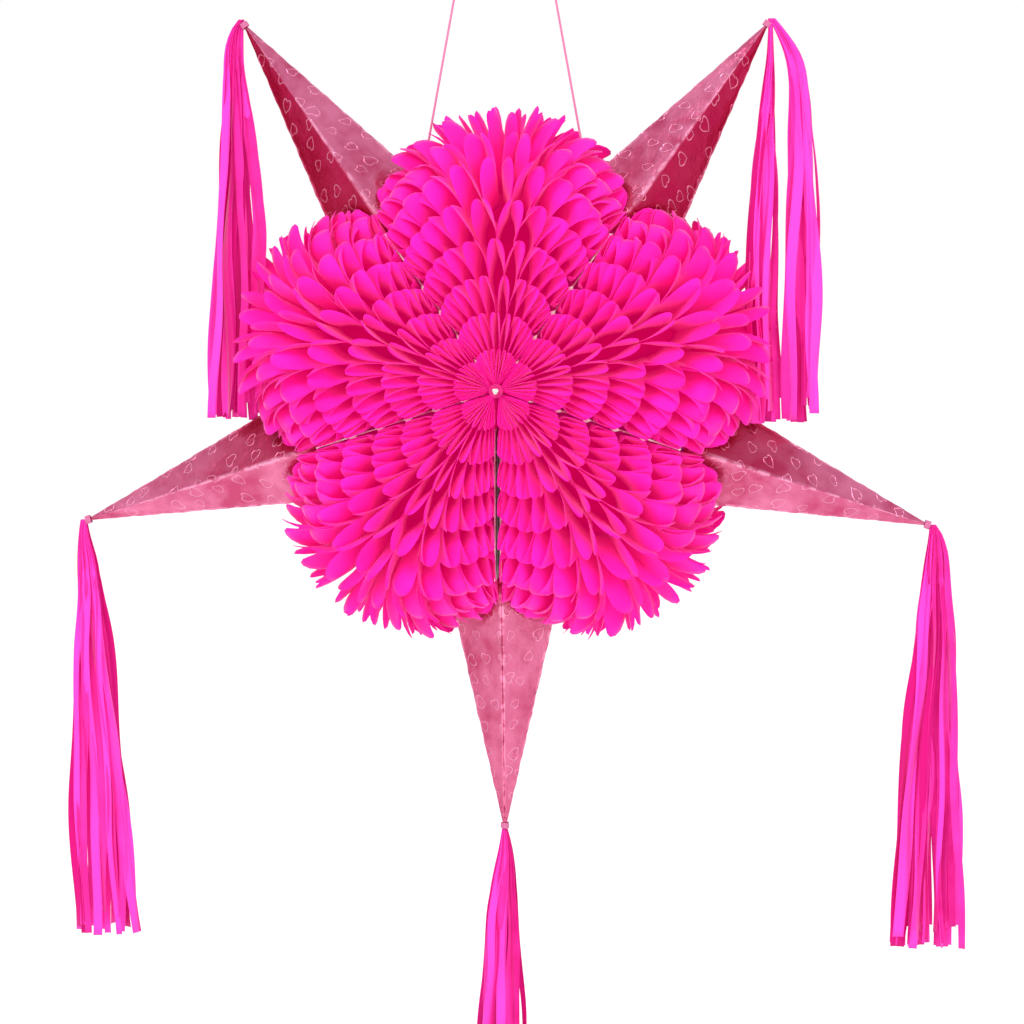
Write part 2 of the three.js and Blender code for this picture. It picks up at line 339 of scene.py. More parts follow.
def tube_mesh(name: str, points: list[Vector], radius: float, sides: int, loop: bool = False) -> Mesh:
    """Wraps a grid round a line of points.

    Args:
        name: the mesh's name.
        points: the line's points.
        radius: the tube's radius.
        sides: how many sides its section has.
        loop: whether the line closes on itself.

    Returns:
        The tube, closed.
    """
    line = np.array([list(p) for p in points], float)
    if loop:
        line = np.vstack([line, line[:1]])
    tangent = np.gradient(line, axis=0)
    if loop:
        tangent[0] = tangent[-1] = line[1] - line[-2]
    tangent /= np.linalg.norm(tangent, axis=1)[:, None]
    across = np.zeros_like(line)
    start = np.cross(tangent[0], (0.0, 1.0, 0.0))
    if np.linalg.norm(start) < 1e-3:
        start = np.cross(tangent[0], (1.0, 0.0, 0.0))
    across[0] = start / np.linalg.norm(start)
    for i in range(1, len(line)):
        moved = across[i - 1] - tangent[i] * (across[i - 1] @ tangent[i])
        across[i] = moved / np.linalg.norm(moved)
    other = np.cross(tangent, across)
    steps = len(line) - 1

    def formula(along: np.ndarray, around: np.ndarray, _: np.ndarray) -> np.ndarray:
        """Places the grid's vertices round the line.

        Args:
            along: share along the line.
            around: share round the tube.
            _: the copy's number, which isn't used.

        Returns:
            Positions, three columns.
        """
        at = np.rint(along * steps).astype(int)
        turn = around * 2.0 * math.pi
        ring = across[at] * np.cos(turn)[:, None] + other[at] * np.sin(turn)[:, None]
        return line[at] + radius * ring

    mesh = shaped_grids(name, steps, sides, 1, formula)
    return welded(mesh, radius * 0.02, cap=not loop)


def thickened(piece: Piece, thickness: float, offset: float = 0.0) -> Piece:
    """Gives a thin sheet its thickness with a Solidify modifier.

    Args:
        piece: the sheet.
        thickness: in metres.
        offset: -1 puts the thickness inside the faces, 0 to both sides.

    Returns:
        The same piece.
    """
    solid = piece.modifiers.new("Thickness", "SOLIDIFY")
    solid.thickness = thickness
    solid.offset = offset
    solid.use_quality_normals = True
    return piece


# ---------------------------------------------------------------- finishes


class Shading:
    """One material's node tree, with short calls for the nodes that the finishes use."""

    def __init__(self, name: str) -> None:
        """Starts a material with a Principled shader.

        Args:
            name: the material's name.
        """
        self.material = bpy.data.materials.new(name)
        self.material.use_nodes = True
        self.nodes = self.material.node_tree.nodes
        self.links = self.material.node_tree.links
        self.shader = self.nodes["Principled BSDF"]

    def add(self, kind: str, **values: object) -> bpy.types.Node:
        """Adds a node and sets its properties.

        Args:
            kind: the node's type.
            values: its properties by name.

        Returns:
            The node.
        """
        node = self.nodes.new(kind)
        for key, value in values.items():
            setattr(node, key, value)
        return node

    def join(self, start: Socket, end: Socket) -> None:
        """Links two sockets."""
        self.links.new(start, end)

    def set(self, **values: object) -> None:
        """Sets the shader's inputs by name, with underscores for spaces.

        Args:
            values: a number or a colour for each input.
        """
        for key, value in values.items():
            self.shader.inputs[key.replace("_", " ")].default_value = value

    def attribute(self, name: str) -> Socket:
        """The number that the mesh's vertices carry under a name."""
        return self.add("ShaderNodeAttribute", attribute_name=name).outputs["Fac"]

    def mapped(self, scale: tuple) -> Socket:
        """The piece's own map, scaled.

        Args:
            scale: along the map's three axes.

        Returns:
            The vector's socket.
        """
        spread = self.add("ShaderNodeMapping")
        spread.inputs["Scale"].default_value = scale
        self.join(self.add("ShaderNodeTexCoord").outputs["UV"], spread.inputs["Vector"])
        return spread.outputs["Vector"]

    def blended(self, factor: float, first: Socket, second: Socket) -> Socket:
        """Mixes two values by a constant share.

        Args:
            factor: the second value's share.
            first: the value at share 0.
            second: the value at share 1.

        Returns:
            The mixed value's socket.
        """
        node = self.add("ShaderNodeMix", data_type="FLOAT")
        node.inputs["Factor"].default_value = factor
        self.join(first, node.inputs[2])
        self.join(second, node.inputs[3])
        return node.outputs[0]

    def overlaid(self, factor: Socket, base: Socket, colour: tuple) -> Socket:
        """Lays a plain colour over another by a mask.

        Args:
            factor: the mask.
            base: the colour underneath.
            colour: the linear colour on top.

        Returns:
            The mixed colour's socket.
        """
        node = self.add("ShaderNodeMix", data_type="RGBA", blend_type="MIX")
        node.inputs[7].default_value = (*colour, 1.0)
        self.join(factor, node.inputs["Factor"])
        self.join(base, node.inputs[6])
        return node.outputs[2]

    def computed(self, operation: str, first: Socket, second: Socket | float) -> Socket:
        """One math node.

        Args:
            operation: the node's operation.
            first: its first value.
            second: its second value, a socket or a number.

        Returns:
            The result's socket.
        """
        node = self.add("ShaderNodeMath", operation=operation)
        self.join(first, node.inputs[0])
        if isinstance(second, float):
            node.inputs[1].default_value = second
        else:
            self.join(second, node.inputs[1])
        return node.outputs[0]

    def noise(self, vector: Socket, scale: float, detail: float = 3.0) -> Socket:
        """A noise value over a vector, from about 0.3 to 0.7.

        Args:
            vector: where it is read.
            scale: how fine it is.
            detail: how many finer layers it has.

        Returns:
            The value's socket.
        """
        node = self.add("ShaderNodeTexNoise")
        node.inputs["Scale"].default_value = scale
        node.inputs["Detail"].default_value = detail
        self.join(vector, node.inputs["Vector"])
        return node.outputs["Fac"]

    def ramp(self, value: Socket, stops: list[tuple]) -> Socket:
        """A colour for a value.

        Args:
            value: the value's socket.
            stops: pairs of position and linear colour, lowest first.

        Returns:
            The colour's socket.
        """
        node = self.add("ShaderNodeValToRGB")
        first, last = node.color_ramp.elements
        first.position, first.color = stops[0][0], (*stops[0][1], 1.0)
        last.position, last.color = stops[-1][0], (*stops[-1][1], 1.0)
        for position, colour in stops[1:-1]:
            node.color_ramp.elements.new(position).color = (*colour, 1.0)
        self.join(value, node.inputs["Fac"])
        return node.outputs["Color"]

    def bump(self, height: Socket, distance: float, strength: float) -> None:
        """Feeds a height to the shader's normal, over any bump already there.

        Args:
            height: the height's socket.
            distance: the height of a full step, in metres.
            strength: from 0 to 1.
        """
        node = self.add("ShaderNodeBump")
        node.inputs["Distance"].default_value = distance
        node.inputs["Strength"].default_value = strength
        self.join(height, node.inputs["Height"])
        before = self.shader.inputs["Normal"].links
        if before:
            self.join(before[0].from_socket, node.inputs["Normal"])
        self.join(node.outputs["Normal"], self.shader.inputs["Normal"])


def heart_group() -> bpy.types.NodeTree:
    """Builds the group that scatters small heart outlines over a map.

    Returns:
        The group: Vector in, Outline (0 to 1) out.
    """
    group = bpy.data.node_groups.new("Embossed hearts", "ShaderNodeTree")
    group.interface.new_socket("Vector", in_out="INPUT", socket_type="NodeSocketVector")
    group.interface.new_socket("Outline", in_out="OUTPUT", socket_type="NodeSocketFloat")
    nodes, links = group.nodes, group.links
    entry, leave = nodes.new("NodeGroupInput"), nodes.new("NodeGroupOutput")

    def math_node(operation: str, *inputs: object) -> Socket:
        """One math node.

        Args:
            operation: the node's operation.
            inputs: sockets and numbers, in order.

        Returns:
            The result's socket.
        """
        node = nodes.new("ShaderNodeMath")
        node.operation = operation
        for place, value in enumerate(inputs):
            if isinstance(value, (int, float)):
                node.inputs[place].default_value = value
            else:
                links.new(value, node.inputs[place])
        return node.outputs[0]

    cells = nodes.new("ShaderNodeTexVoronoi")
    cells.voronoi_dimensions = "2D"
    cells.inputs["Scale"].default_value = 1.0
    cells.inputs["Randomness"].default_value = 0.45
    links.new(entry.outputs["Vector"], cells.inputs["Vector"])
    local = nodes.new("ShaderNodeVectorMath")
    local.operation = "SUBTRACT"
    links.new(entry.outputs["Vector"], local.inputs[0])
    links.new(cells.outputs["Position"], local.inputs[1])
    parts = nodes.new("ShaderNodeSeparateColor")
    links.new(cells.outputs["Color"], parts.inputs["Color"])
    turn = nodes.new("ShaderNodeVectorRotate")
    turn.rotation_type = "Z_AXIS"
    links.new(local.outputs[0], turn.inputs["Vector"])
    links.new(math_node("MULTIPLY", parts.outputs["Red"], 6.28), turn.inputs["Angle"])
    place = nodes.new("ShaderNodeSeparateXYZ")
    links.new(turn.outputs[0], place.inputs[0])
    size = math_node("MULTIPLY_ADD", parts.outputs["Green"], -1.6, 5.2)
    x = math_node("MULTIPLY", place.outputs["X"], size)
    y = math_node("MULTIPLY", place.outputs["Y"], size)
    root = math_node("POWER", math_node("ABSOLUTE", x), 0.5)
    tall = math_node("SUBTRACT", math_node("MULTIPLY", y, 1.15), math_node("MULTIPLY", root, 0.75))
    value = math_node("ADD", math_node("MULTIPLY", x, x), math_node("MULTIPLY", tall, tall))
    near = math_node("ABSOLUTE", math_node("SUBTRACT", value, 1.0))
    outline = nodes.new("ShaderNodeMapRange")
    outline.interpolation_type = "SMOOTHSTEP"
    outline.inputs["From Min"].default_value = 0.1
    outline.inputs["From Max"].default_value = 0.34
    outline.inputs["To Min"].default_value = 1.0
    outline.inputs["To Max"].default_value = 0.0
    links.new(near, outline.inputs["Value"])
    links.new(outline.outputs["Result"], leave.inputs["Outline"])
    return group


@dataclass(frozen=True)
class TissueFinish:
    """Thin matt tissue paper, dyed through.

    Args:
        deep: linear colour of the darker patches.
        light: linear colour of the lighter patches.
        glow: linear colour of the emission, a painted glow that lifts the shaded hollows.
        glow_strength: how strongly.
        variation: how much one sheet or strip differs from the next.
        roughness: of the paper.
    """

    deep: tuple = (0.78, 0.001, 0.28)
    light: tuple = (0.87, 0.006, 0.4)
    glow: tuple = (1.0, 0.0, 0.32)
    glow_strength: float = 0.155
    variation: float = 0.25
    roughness: float = 0.7

    def build(self, name: str) -> Material:
        """Makes the material.

        Args:
            name: the material's name.

        Returns:
            The material.
        """
        shade = Shading(name)
        place = shade.add("ShaderNodeTexCoord").outputs["Object"]
        patches = shade.blended(self.variation, shade.noise(place, 60.0), shade.attribute("Chance"))
        colour = shade.ramp(patches, [(0.3, self.deep), (0.7, self.light)])
        shade.join(colour, shade.shader.inputs["Base Color"])
        # The emission is a painted glow that lifts the tissue's shaded hollows between the sheets.
        shade.set(
            Roughness=self.roughness,
            Specular_IOR_Level=0.14,
            Emission_Color=(*self.glow, 1.0),
            Emission_Strength=self.glow_strength,
            Sheen_Weight=0.15,
        )
        shade.bump(shade.noise(place, 900.0), 0.0002, 0.25)
        return shade.material


@dataclass(frozen=True)
class FoilFinish:
    """Metallic foil on card, with small embossed hearts and crinkles.

    Args:
        deepest: linear colour of the painted shade and reflection on the cones.
        dark: linear colour in the creases, painted shade.
        middle: linear colour of the open foil.
        bright: linear colour of the foil that is stretched flat, a painted sheen.
        edge: linear colour of the embossed lines and of the painted highlight along the ridges.
        roughness: of the foil.
        metallic: of the foil.
        heart_pitch: from heart to heart, in metres.
    """

    deepest: tuple = (0.34, 0.0, 0.04)
    dark: tuple = (0.48, 0.06, 0.15)
    middle: tuple = (0.56, 0.115, 0.23)
    bright: tuple = (0.66, 0.17, 0.31)
    edge: tuple = (0.95, 0.4, 0.6)
    roughness: float = 0.28
    metallic: float = 0.92
    heart_pitch: float = 0.017

    def build(self, name: str, hearts: bpy.types.NodeTree) -> Material:
        """Makes the material.

        Args:
            name: the material's name.
            hearts: the group that scatters the heart outlines.

        Returns:
            The material.
        """
        shade = Shading(name)
        motif = shade.add("ShaderNodeGroup", node_tree=hearts)
        shade.join(shade.mapped((1.0 / self.heart_pitch,) * 3), motif.inputs["Vector"])
        outline = motif.outputs["Outline"]
        place = shade.add("ShaderNodeTexCoord").outputs["Object"]
        crinkle = shade.noise(place, 95.0, 4.0)
        # The colour follows broad random patches and the crinkles: painted shade in their hollows, a
        # painted sheen where flat.
        patches = shade.blended(0.4, shade.noise(place, 26.0, 2.0), crinkle)
        colour = shade.ramp(patches, [(0.36, self.dark), (0.46, self.middle), (0.6, self.bright)])
        # Painted shade and reflection: a darker crimson over the marked face and the cone's base.
        colour = shade.overlaid(shade.attribute("Deep"), colour, self.deepest)
        # Painted highlight: a broken pale line along the cone's ridges.
        rubbed = shade.ramp(shade.noise(place, 150.0), [(0.42, (0.0,) * 3), (0.56, (0.8,) * 3)])
        worn = shade.computed("MULTIPLY", rubbed, shade.attribute("Ridge"))
        pale = shade.computed("MAXIMUM", shade.computed("MULTIPLY", outline, 0.4), worn)
        shade.join(shade.overlaid(pale, colour, self.edge), shade.shader.inputs["Base Color"])
        shade.set(Metallic=self.metallic, Roughness=self.roughness)
        shade.bump(crinkle, 0.0022, 0.4)
        shade.bump(shade.noise(place, 420.0, 2.0), 0.0005, 0.3)
        shade.bump(outline, 0.0005, 0.5)
        return shade.material


@dataclass(frozen=True)
class CardFinish:
    """Uncoated card or paper with faint fibres.

    Args:
        colour: linear colour.
    """

    colour: tuple = (0.86, 0.83, 0.79)

    def build(self, name: str) -> Material:
        """Makes the material.

        Args:
            name: the material's name.

        Returns:
            The material.
        """
        shade = Shading(name)
        place = shade.add("ShaderNodeTexCoord").outputs["Object"]
        faint = tuple(0.86 * value for value in self.colour)
        colour = shade.ramp(shade.noise(place, 500.0, 5.0), [(0.35, faint), (0.65, self.colour)])
        shade.join(colour, shade.shader.inputs["Base Color"])
        shade.set(Roughness=0.85)
        shade.bump(shade.noise(place, 1400.0), 0.0002, 0.3)
        return shade.material


@dataclass(frozen=True)
class ThreadFinish:
    """Twisted thread.

    Args:
        colour: linear colour of the strands.
        twist: strand crossings along one unit of the map.
    """

    colour: tuple = (0.85, 0.22, 0.45)
    twist: float = 60.0

    def build(self, name: str) -> Material:
        """Makes the material.

        Args:
            name: the material's name.

        Returns:
            The material.
        """
        shade = Shading(name)
        wave = shade.add("ShaderNodeTexWave", wave_type="BANDS", bands_direction="DIAGONAL")
        wave.inputs["Scale"].default_value = 1.0
        shade.join(shade.mapped((self.twist, 2.0, 1.0)), wave.inputs["Vector"])
        # Painted shade: the grooves between the strands are darker, on the same bands as the bump.
        groove = tuple(0.6 * value for value in self.colour)
        colour = shade.ramp(wave.outputs["Fac"], [(0.2, groove), (0.7, self.colour)])
        shade.join(colour, shade.shader.inputs["Base Color"])
        shade.set(Roughness=0.8)
        shade.bump(wave.outputs["Fac"], 0.0004, 0.6)
        return shade.material


@dataclass
class Wardrobe:
    """Every finish the pinata wears, built once.

    Args:
        tissue: of the lobes' sheets.
        tassel_tissue: of the tassels' strips, which differ more from each other.
        dyed_card: of the spine tube.
        shade_tissue: of the sheets' glued inner edge, darker as painted shade, glowing more.
        foil: of the cones and the flap.
        card: of the boards, tabs and closing strips.
        thread: of the string, its knots and the ties.
        cotton: of the spine's knots.
    """

    tissue: Material
    tassel_tissue: Material
    dyed_card: Material
    shade_tissue: Material
    foil: Material
    card: Material
    thread: Material
    cotton: Material

    @classmethod
    def build(cls) -> "Wardrobe":
        """Builds all the materials.

        Returns:
            The finishes.
        """
        strips = TissueFinish(deep=(0.5, 0.0, 0.14), light=(0.94, 0.05, 0.5), variation=0.8)
        # The inner tissue is darker and redder as painted shade, and glows more as painted light.
        inner = TissueFinish(deep=(0.5, 0.0, 0.06), light=(0.7, 0.0, 0.1), glow_strength=0.2)
        return cls(
            tissue=TissueFinish().build("Hot pink tissue"),
            tassel_tissue=strips.build("Cut tissue"),
            dyed_card=CardFinish((0.62, 0.004, 0.16)).build("Dyed card"),
            shade_tissue=inner.build("Inner tissue"),
            foil=FoilFinish().build("Pink foil", heart_group()),
            card=CardFinish().build("White card"),
            thread=ThreadFinish().build("Pink thread"),
            cotton=ThreadFinish(colour=(0.9, 0.88, 0.84), twist=24.0).build("White cotton"),
        )


# ---------------------------------------------------------------- honeycomb lobes


@dataclass
class LobeOutline:
    """The section of a lobe from the middle of its front, over the rim, to the middle of its back.

    Args:
        star: the star's sizes.
        dome: how far the front's middle stands out from its flat part's edge.
        edge_radius: of the round between the front and the rim.
        rim_inset: from the lobe's rim in to the glued rows.
        front_inset: from the lobe's front in to the glued rows.
    """

    star: StarFrame
    dome: float = 5 * MM
    edge_radius: float = 58 * MM
    rim_inset: float = 9 * MM
    front_inset: float = 4 * MM

    def __post_init__(self) -> None:
        """Samples the outline's points and normals by their distance along it."""
        self.rim_radius = self.star.lobe_radius - self.rim_inset
        flat = self.rim_radius - self.edge_radius
        rim_half = self.star.lobe_half_depth - self.dome - self.edge_radius - self.front_inset
        radius, depth = [0.0], [-(rim_half + self.edge_radius + self.dome)]
        for share in np.linspace(0.0, 1.0, 24)[1:]:
            radius.append(flat * share)
            depth.append(-(rim_half + self.edge_radius + self.dome * (1.0 - share**2)))
        for turn in np.linspace(0.0, math.pi / 2, 32)[1:]:
            radius.append(flat + self.edge_radius * math.sin(turn))
            depth.append(-(rim_half + self.edge_radius * math.cos(turn)))
        self.radius = np.array(radius + radius[::-1])
        self.depth = np.array(depth + [-value for value in depth[::-1]])
        step = np.hypot(np.diff(self.radius), np.diff(self.depth))
        self.along = np.concatenate([[0.0], np.cumsum(step)])
        apart = self.along + 1e-9 * np.arange(len(self.along))
        run_r = np.gradient(self.radius, apart)
        run_y = np.gradient(self.depth, apart)
        size = np.hypot(run_r, run_y)
        self.normal_r, self.normal_y = run_y / size, -run_r / size
        self.length = float(self.along[-1])

    def place(self, along: np.ndarray, inside: np.ndarray) -> tuple[np.ndarray, np.ndarray]:
        """Radius and depth of points at a distance along the outline and inside it.

        Args:
            along: distance along the outline from the front's middle.
            inside: distance inside the outline, negative outside.

        Returns:
            The radius from the spine's axis and the depth, negative at the front.
        """
        radius = np.interp(along, self.along, self.radius)
        depth = np.interp(along, self.along, self.depth)
        normal_r = np.interp(along, self.along, self.normal_r)
        normal_y = np.interp(along, self.along, self.normal_y)
        return radius - inside * normal_r, depth - inside * normal_y


@dataclass
class HoneycombLobe:
    """One fifth of the star's tissue: sheets glued at staggered rows, with scalloped edges.

    Args:
        word: the lobe's name.
        node: the CAD node it stands for.
        angle: its middle, in degrees.
        low_body: the body on its clockwise side; not used.
        high_body: the body on its anticlockwise side; not used.
        star: the star's sizes.
        outline: the lobe's section at the glued rows.
        span: the part of the lobe's width this piece covers, from -1 to 1.
        sheets: how many tissue sheets a whole lobe holds.
        rows: petals along one sheet, from the front's middle to the back's.
        steps: grid steps along one petal.
        layers: grid steps from the edge inwards.
        page: how deep a sheet is modelled, from its glued rows inwards.
        margin: from the outline's ends to the first glued row.
        petal: from the glued rows to the free edge of a petal.
        rim_petal: the same at the rim, where the petals are longest.
        lean: how far a petal's head hangs outwards, as a share of a row.
        pinch: how far a glued row draws two sheets together, as a share of their spacing.
        tilt: how far the petals' heads lean to the seams, as a share of the lobe's half width.
        uneven: how far a sheet stands off its even place, as a share of the sheets' spacing.
        length_range: the shortest and the longest petals, as shares of the usual length.
        head_range: how far the petals' heads spread, as shares of the full spread.
        seam_gap: what is left free beside a seam where two rows are drawn together, as a share.
        free_part: share of the grid's layers that lies outside the glued rows.
        seam_dip: how far the outline draws in towards the seams, as a share of its radius.
        front_dip: the same for its depth.
        board_gap: from a seam's plane to the sheets, at the glued rows and at the petals' heads.
        closing_gap: the same for the lower lobes, which end at the thicker closing boards.
    """

    word: str
    node: str
    angle: float
    low_body: str
    high_body: str
    star: StarFrame
    outline: LobeOutline
    span: tuple[float, float] = (-1.0, 1.0)
    sheets: int = 26
    rows: int = 17
    steps: int = 12
    layers: int = 7
    page: float = 36 * MM
    margin: float = 3 * MM
    petal: float = 16.5 * MM
    rim_petal: float = 28 * MM
    lean: float = 0.42
    pinch: float = 0.46
    tilt: float = 0.17
    uneven: float = 0.13
    length_range: tuple[float, float] = (0.86, 1.09)
    head_range: tuple[float, float] = (0.86, 1.0)
    seam_gap: float = 0.22
    free_part: float = 0.55
    seam_dip: float = 0.2
    front_dip: float = 0.08
    board_gap: tuple[float, float] = (0.75 * MM, 0.15 * MM)
    closing_gap: tuple[float, float] = (1.9 * MM, 1.1 * MM)

    def side_limit(self, radius: np.ndarray, depth: np.ndarray, lift: np.ndarray) -> np.ndarray:
        """How far a sheet may stand from the lobe's middle before it meets the board or the cone.

        Args:
            radius: of the points.
            depth: of the points.
            lift: -1 at the page's inner edge, 0 at the glued rows and 1 at the petals' edges.

        Returns:
            The largest angle from the lobe's middle, in radians.
        """
        star = self.star
        spread = np.zeros_like(radius)
        safe = np.maximum(radius, 1 * MM)
        ramp = smooth((radius - (star.cone_base - 4 * MM)) / (16 * MM))
        glued, head = self.closing_gap if self.word.startswith("lower") else self.board_gap
        clearance = glued - (glued - head) * smooth(lift * 3.0)
        for _ in range(3):
            reach = safe * np.cos(spread)
            half_width = star.cone_slope * (star.tip_radius - reach) - np.abs(depth) / star.cone_depth
            taken = clearance + ramp * np.maximum(half_width, 0.0) * 1.03
            spread = np.arcsin(np.clip(taken / safe, 0.0, 0.75))
        return HALF_SECTOR - spread

    def crowded(self, share: np.ndarray, lift: np.ndarray) -> np.ndarray:
        """Where a sheet stands across the lobe: evenly deep inside, crowded to the seams outside.

        Args:
            share: its even place, from -1 to 1.
            lift: -1 at the page's inner edge, 0 at the glued rows and 1 at the petals' edges.

        Returns:
            Its place, from -1 to 1.
        """
        wave = np.sin(np.abs(share) * math.pi / 2)
        glued = 0.55 * wave + 0.45 * np.abs(share)
        head = glued + self.tilt * np.sin(math.pi * np.abs(share) ** 0.95)
        inner = glued + (np.abs(share) - glued) * np.clip(-lift, 0.0, 1.0)
        outer = glued + (head - glued) * np.clip(lift, 0.0, 1.0) ** 1.3
        return np.sign(share) * np.where(lift < 0.0, inner, outer)

    def fan_place(
        self, share: np.ndarray, along: np.ndarray, rise: np.ndarray, lift: np.ndarray
    ) -> np.ndarray:
        """Puts points of the fan in the frame.

        Args:
            share: place across the lobe, from -1 to 1, before the sheets crowd to the seams.
            along: distance along the outline.
            rise: length of paper outside the glued rows, or negative inside them.
            lift: -1 at the page's inner edge, 0 at the glued rows and 1 at the petals' edges.

        Returns:
            Positions, three columns.
        """
        flat_radius, flat_depth = self.outline.place(along, np.zeros_like(along))
        limit = self.side_limit(np.maximum(flat_radius, AXIS_RADIUS), flat_depth, lift)
        side = self.crowded(share, lift)
        shift = (side - self.crowded(share, np.minimum(lift, 0.0))) * limit * flat_radius
        upright = np.sqrt(np.maximum(rise**2 - shift**2, (0.4 * rise) ** 2))
        inside = np.where(rise > 0.0, -upright, -rise)
        radius, depth = self.outline.place(along, inside)
        radius = np.maximum(radius, AXIS_RADIUS)
        outer = np.clip(radius / self.outline.rim_radius, 0.0, 1.0)
        edge = np.abs(side)
        radius = radius * (1.0 - (self.seam_dip - 0.03 * outer) * edge**3.2)
        depth = depth * (1.0 - self.front_dip * edge**4)
        turn = math.radians(self.angle) + self.side_limit(radius, depth, lift) * side
        arms = np.stack([radius * np.cos(turn), depth, radius * np.sin(turn)], axis=1)
        return np.array(self.star.centre) + arms

    def petals(self, material: Material) -> Piece:
        """Makes all the sheets of the lobe.

        Args:
            material: the tissue.

        Returns:
            The piece.
        """
        chance = np.random.default_rng(SEED + int(self.angle) % 360)
        pitch = (self.outline.length - 2 * self.margin) / self.rows
        shift = chance.uniform(-self.uneven, self.uneven, self.sheets)
        reach = chance.uniform(*self.length_range, (self.sheets, self.rows))
        droop = chance.uniform(*self.head_range, (self.sheets, self.rows))
        wander = chance.uniform(0.0, 2 * math.pi, (self.sheets, 2))
        middle = (self.rows - 1) / 2
        first = round(self.sheets * (self.span[0] + 1.0) / 2)

        def formula(along: np.ndarray, across: np.ndarray, copy: np.ndarray) -> np.ndarray:
            """Places every vertex of every sheet.

            Args:
                along: share along the sheet.
                across: share across it, from the petals' edges inwards.
                copy: the sheet's number in this piece.

            Returns:
                Positions, three columns.
            """
            sheet = copy + first
            place = along * self.rows
            row = np.minimum(np.floor(place + 1e-6), self.rows - 1).astype(int)
            part = np.clip(place - row, 0.0, 1.0)
            rim = smooth(1.0 - (np.abs(row - middle) - 0.3) / 2.0)
            start = smooth((middle - np.abs(row - middle)) / 2.0)
            side = np.clip((middle - row) / 2.0, -1.0, 1.0)
            headed = np.where(side >= 0.0, part, 1.0 - part)
            arch = np.sin(math.pi * headed ** (1.0 + 0.3 * np.abs(side))) ** (0.62 + 1.9 * rim**2)
            length = self.petal * (0.66 + 0.34 * start) + (self.rim_petal - self.petal) * rim
            length = length * reach[sheet, row]
            base = self.margin + pitch * place
            above = np.clip(1.0 - across / self.free_part, 0.0, 1.0)
            below = np.clip((across - self.free_part) / (1.0 - self.free_part), 0.0, 1.0)
            line = base + pitch * self.lean * side * np.sin(math.pi * part) * above
            rise = length * arch * above - self.page * below**1.2
            lift = arch * above * droop[sheet, row] - below
            wave = 0.14 * np.sin(base * 70.0 + wander[sheet, 0])
            wave = wave + 0.07 * np.sin(base * 190.0 + wander[sheet, 1])
            swing = self.pinch * np.where(sheet % 2 == 0, 1.0, -1.0) * np.cos(math.pi * place)
            index = sheet + 0.5 + shift[sheet] + wave + swing
            share = index / self.sheets * 2.0 - 1.0
            pinched = np.abs(np.cos(math.pi * place)) ** 6 * smooth(1.0 - below * 0.6) * start
            widest = 1.0 - self.seam_gap * pinched * smooth(place / 1.2)
            return self.fan_place(np.clip(share, -widest, widest), line, rise, lift)

        columns = self.rows * self.steps
        copies = round(self.sheets * (self.span[1] - self.span[0]) / 2)
        mesh = shaped_grids(f"tissue_lobe_{self.word}", columns, self.layers, copies, formula)
        piece = thickened(mesh_object(f"tissue_lobe_{self.word}", mesh, material), 0.25 * MM)
        return piece

    def heart_wall(self, material: Material) -> Piece:
        """Makes the glued inner edge of the sheets, which closes the lobe inside.

        Args:
            material: the tissue with painted shade.

        Returns:
            The piece.
        """

        def formula(along: np.ndarray, across: np.ndarray, _: np.ndarray) -> np.ndarray:
            """Places the wall behind the sheets.

            Args:
                along: share along the outline.
                across: share across the lobe.
                _: the copy's number, which isn't used.

            Returns:
                Positions, three columns.
            """
            line = self.margin + along * (self.outline.length - 2 * self.margin)
            share = self.span[0] + across * (self.span[1] - self.span[0])
            inner = np.full_like(line, -self.page - 1 * MM)
            return self.fan_place(share, line, inner, np.full_like(line, -1.0))

        mesh = shaped_grids(f"tissue_lobe_wall_{self.word}", 60, 30, 1, formula)
        piece = thickened(mesh_object(f"tissue_lobe_wall_{self.word}", mesh, material), 0.4 * MM)
        return piece

    def fan(self, piece: Piece) -> None:
        """Bakes a piece of the lobe in place and reads each point's turn from the lobe's middle.

        Args:
            piece: the petals or the wall.
        """
        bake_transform(piece)
        points = read_points(piece.data) - np.array(self.star.centre)
        turn = np.arctan2(points[:, 2], points[:, 0]) - math.radians(self.angle)
        turn = (turn + math.pi) % (2 * math.pi) - math.pi

    def build(self, finishes: Wardrobe) -> list[Piece]:
        """Makes and dresses the lobe.

        Args:
            finishes: the materials.

        Returns:
            The lobe's pieces.
        """
        petals = self.petals(finishes.tissue)
        wall = self.heart_wall(finishes.shade_tissue)
        for piece in (petals, wall):
            self.fan(piece)
        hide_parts(self.node)
        return [petals, wall]


# ---------------------------------------------------------------- foil cones


class ConeSpan(Enum):
    """Which part of a cone's round a piece covers, in quarters from the front ridge."""

    WHOLE = (0.0, 4.0)
    CLOCKWISE_HALF = (0.0, 2.0)
    ANTICLOCKWISE_HALF = (2.0, 4.0)


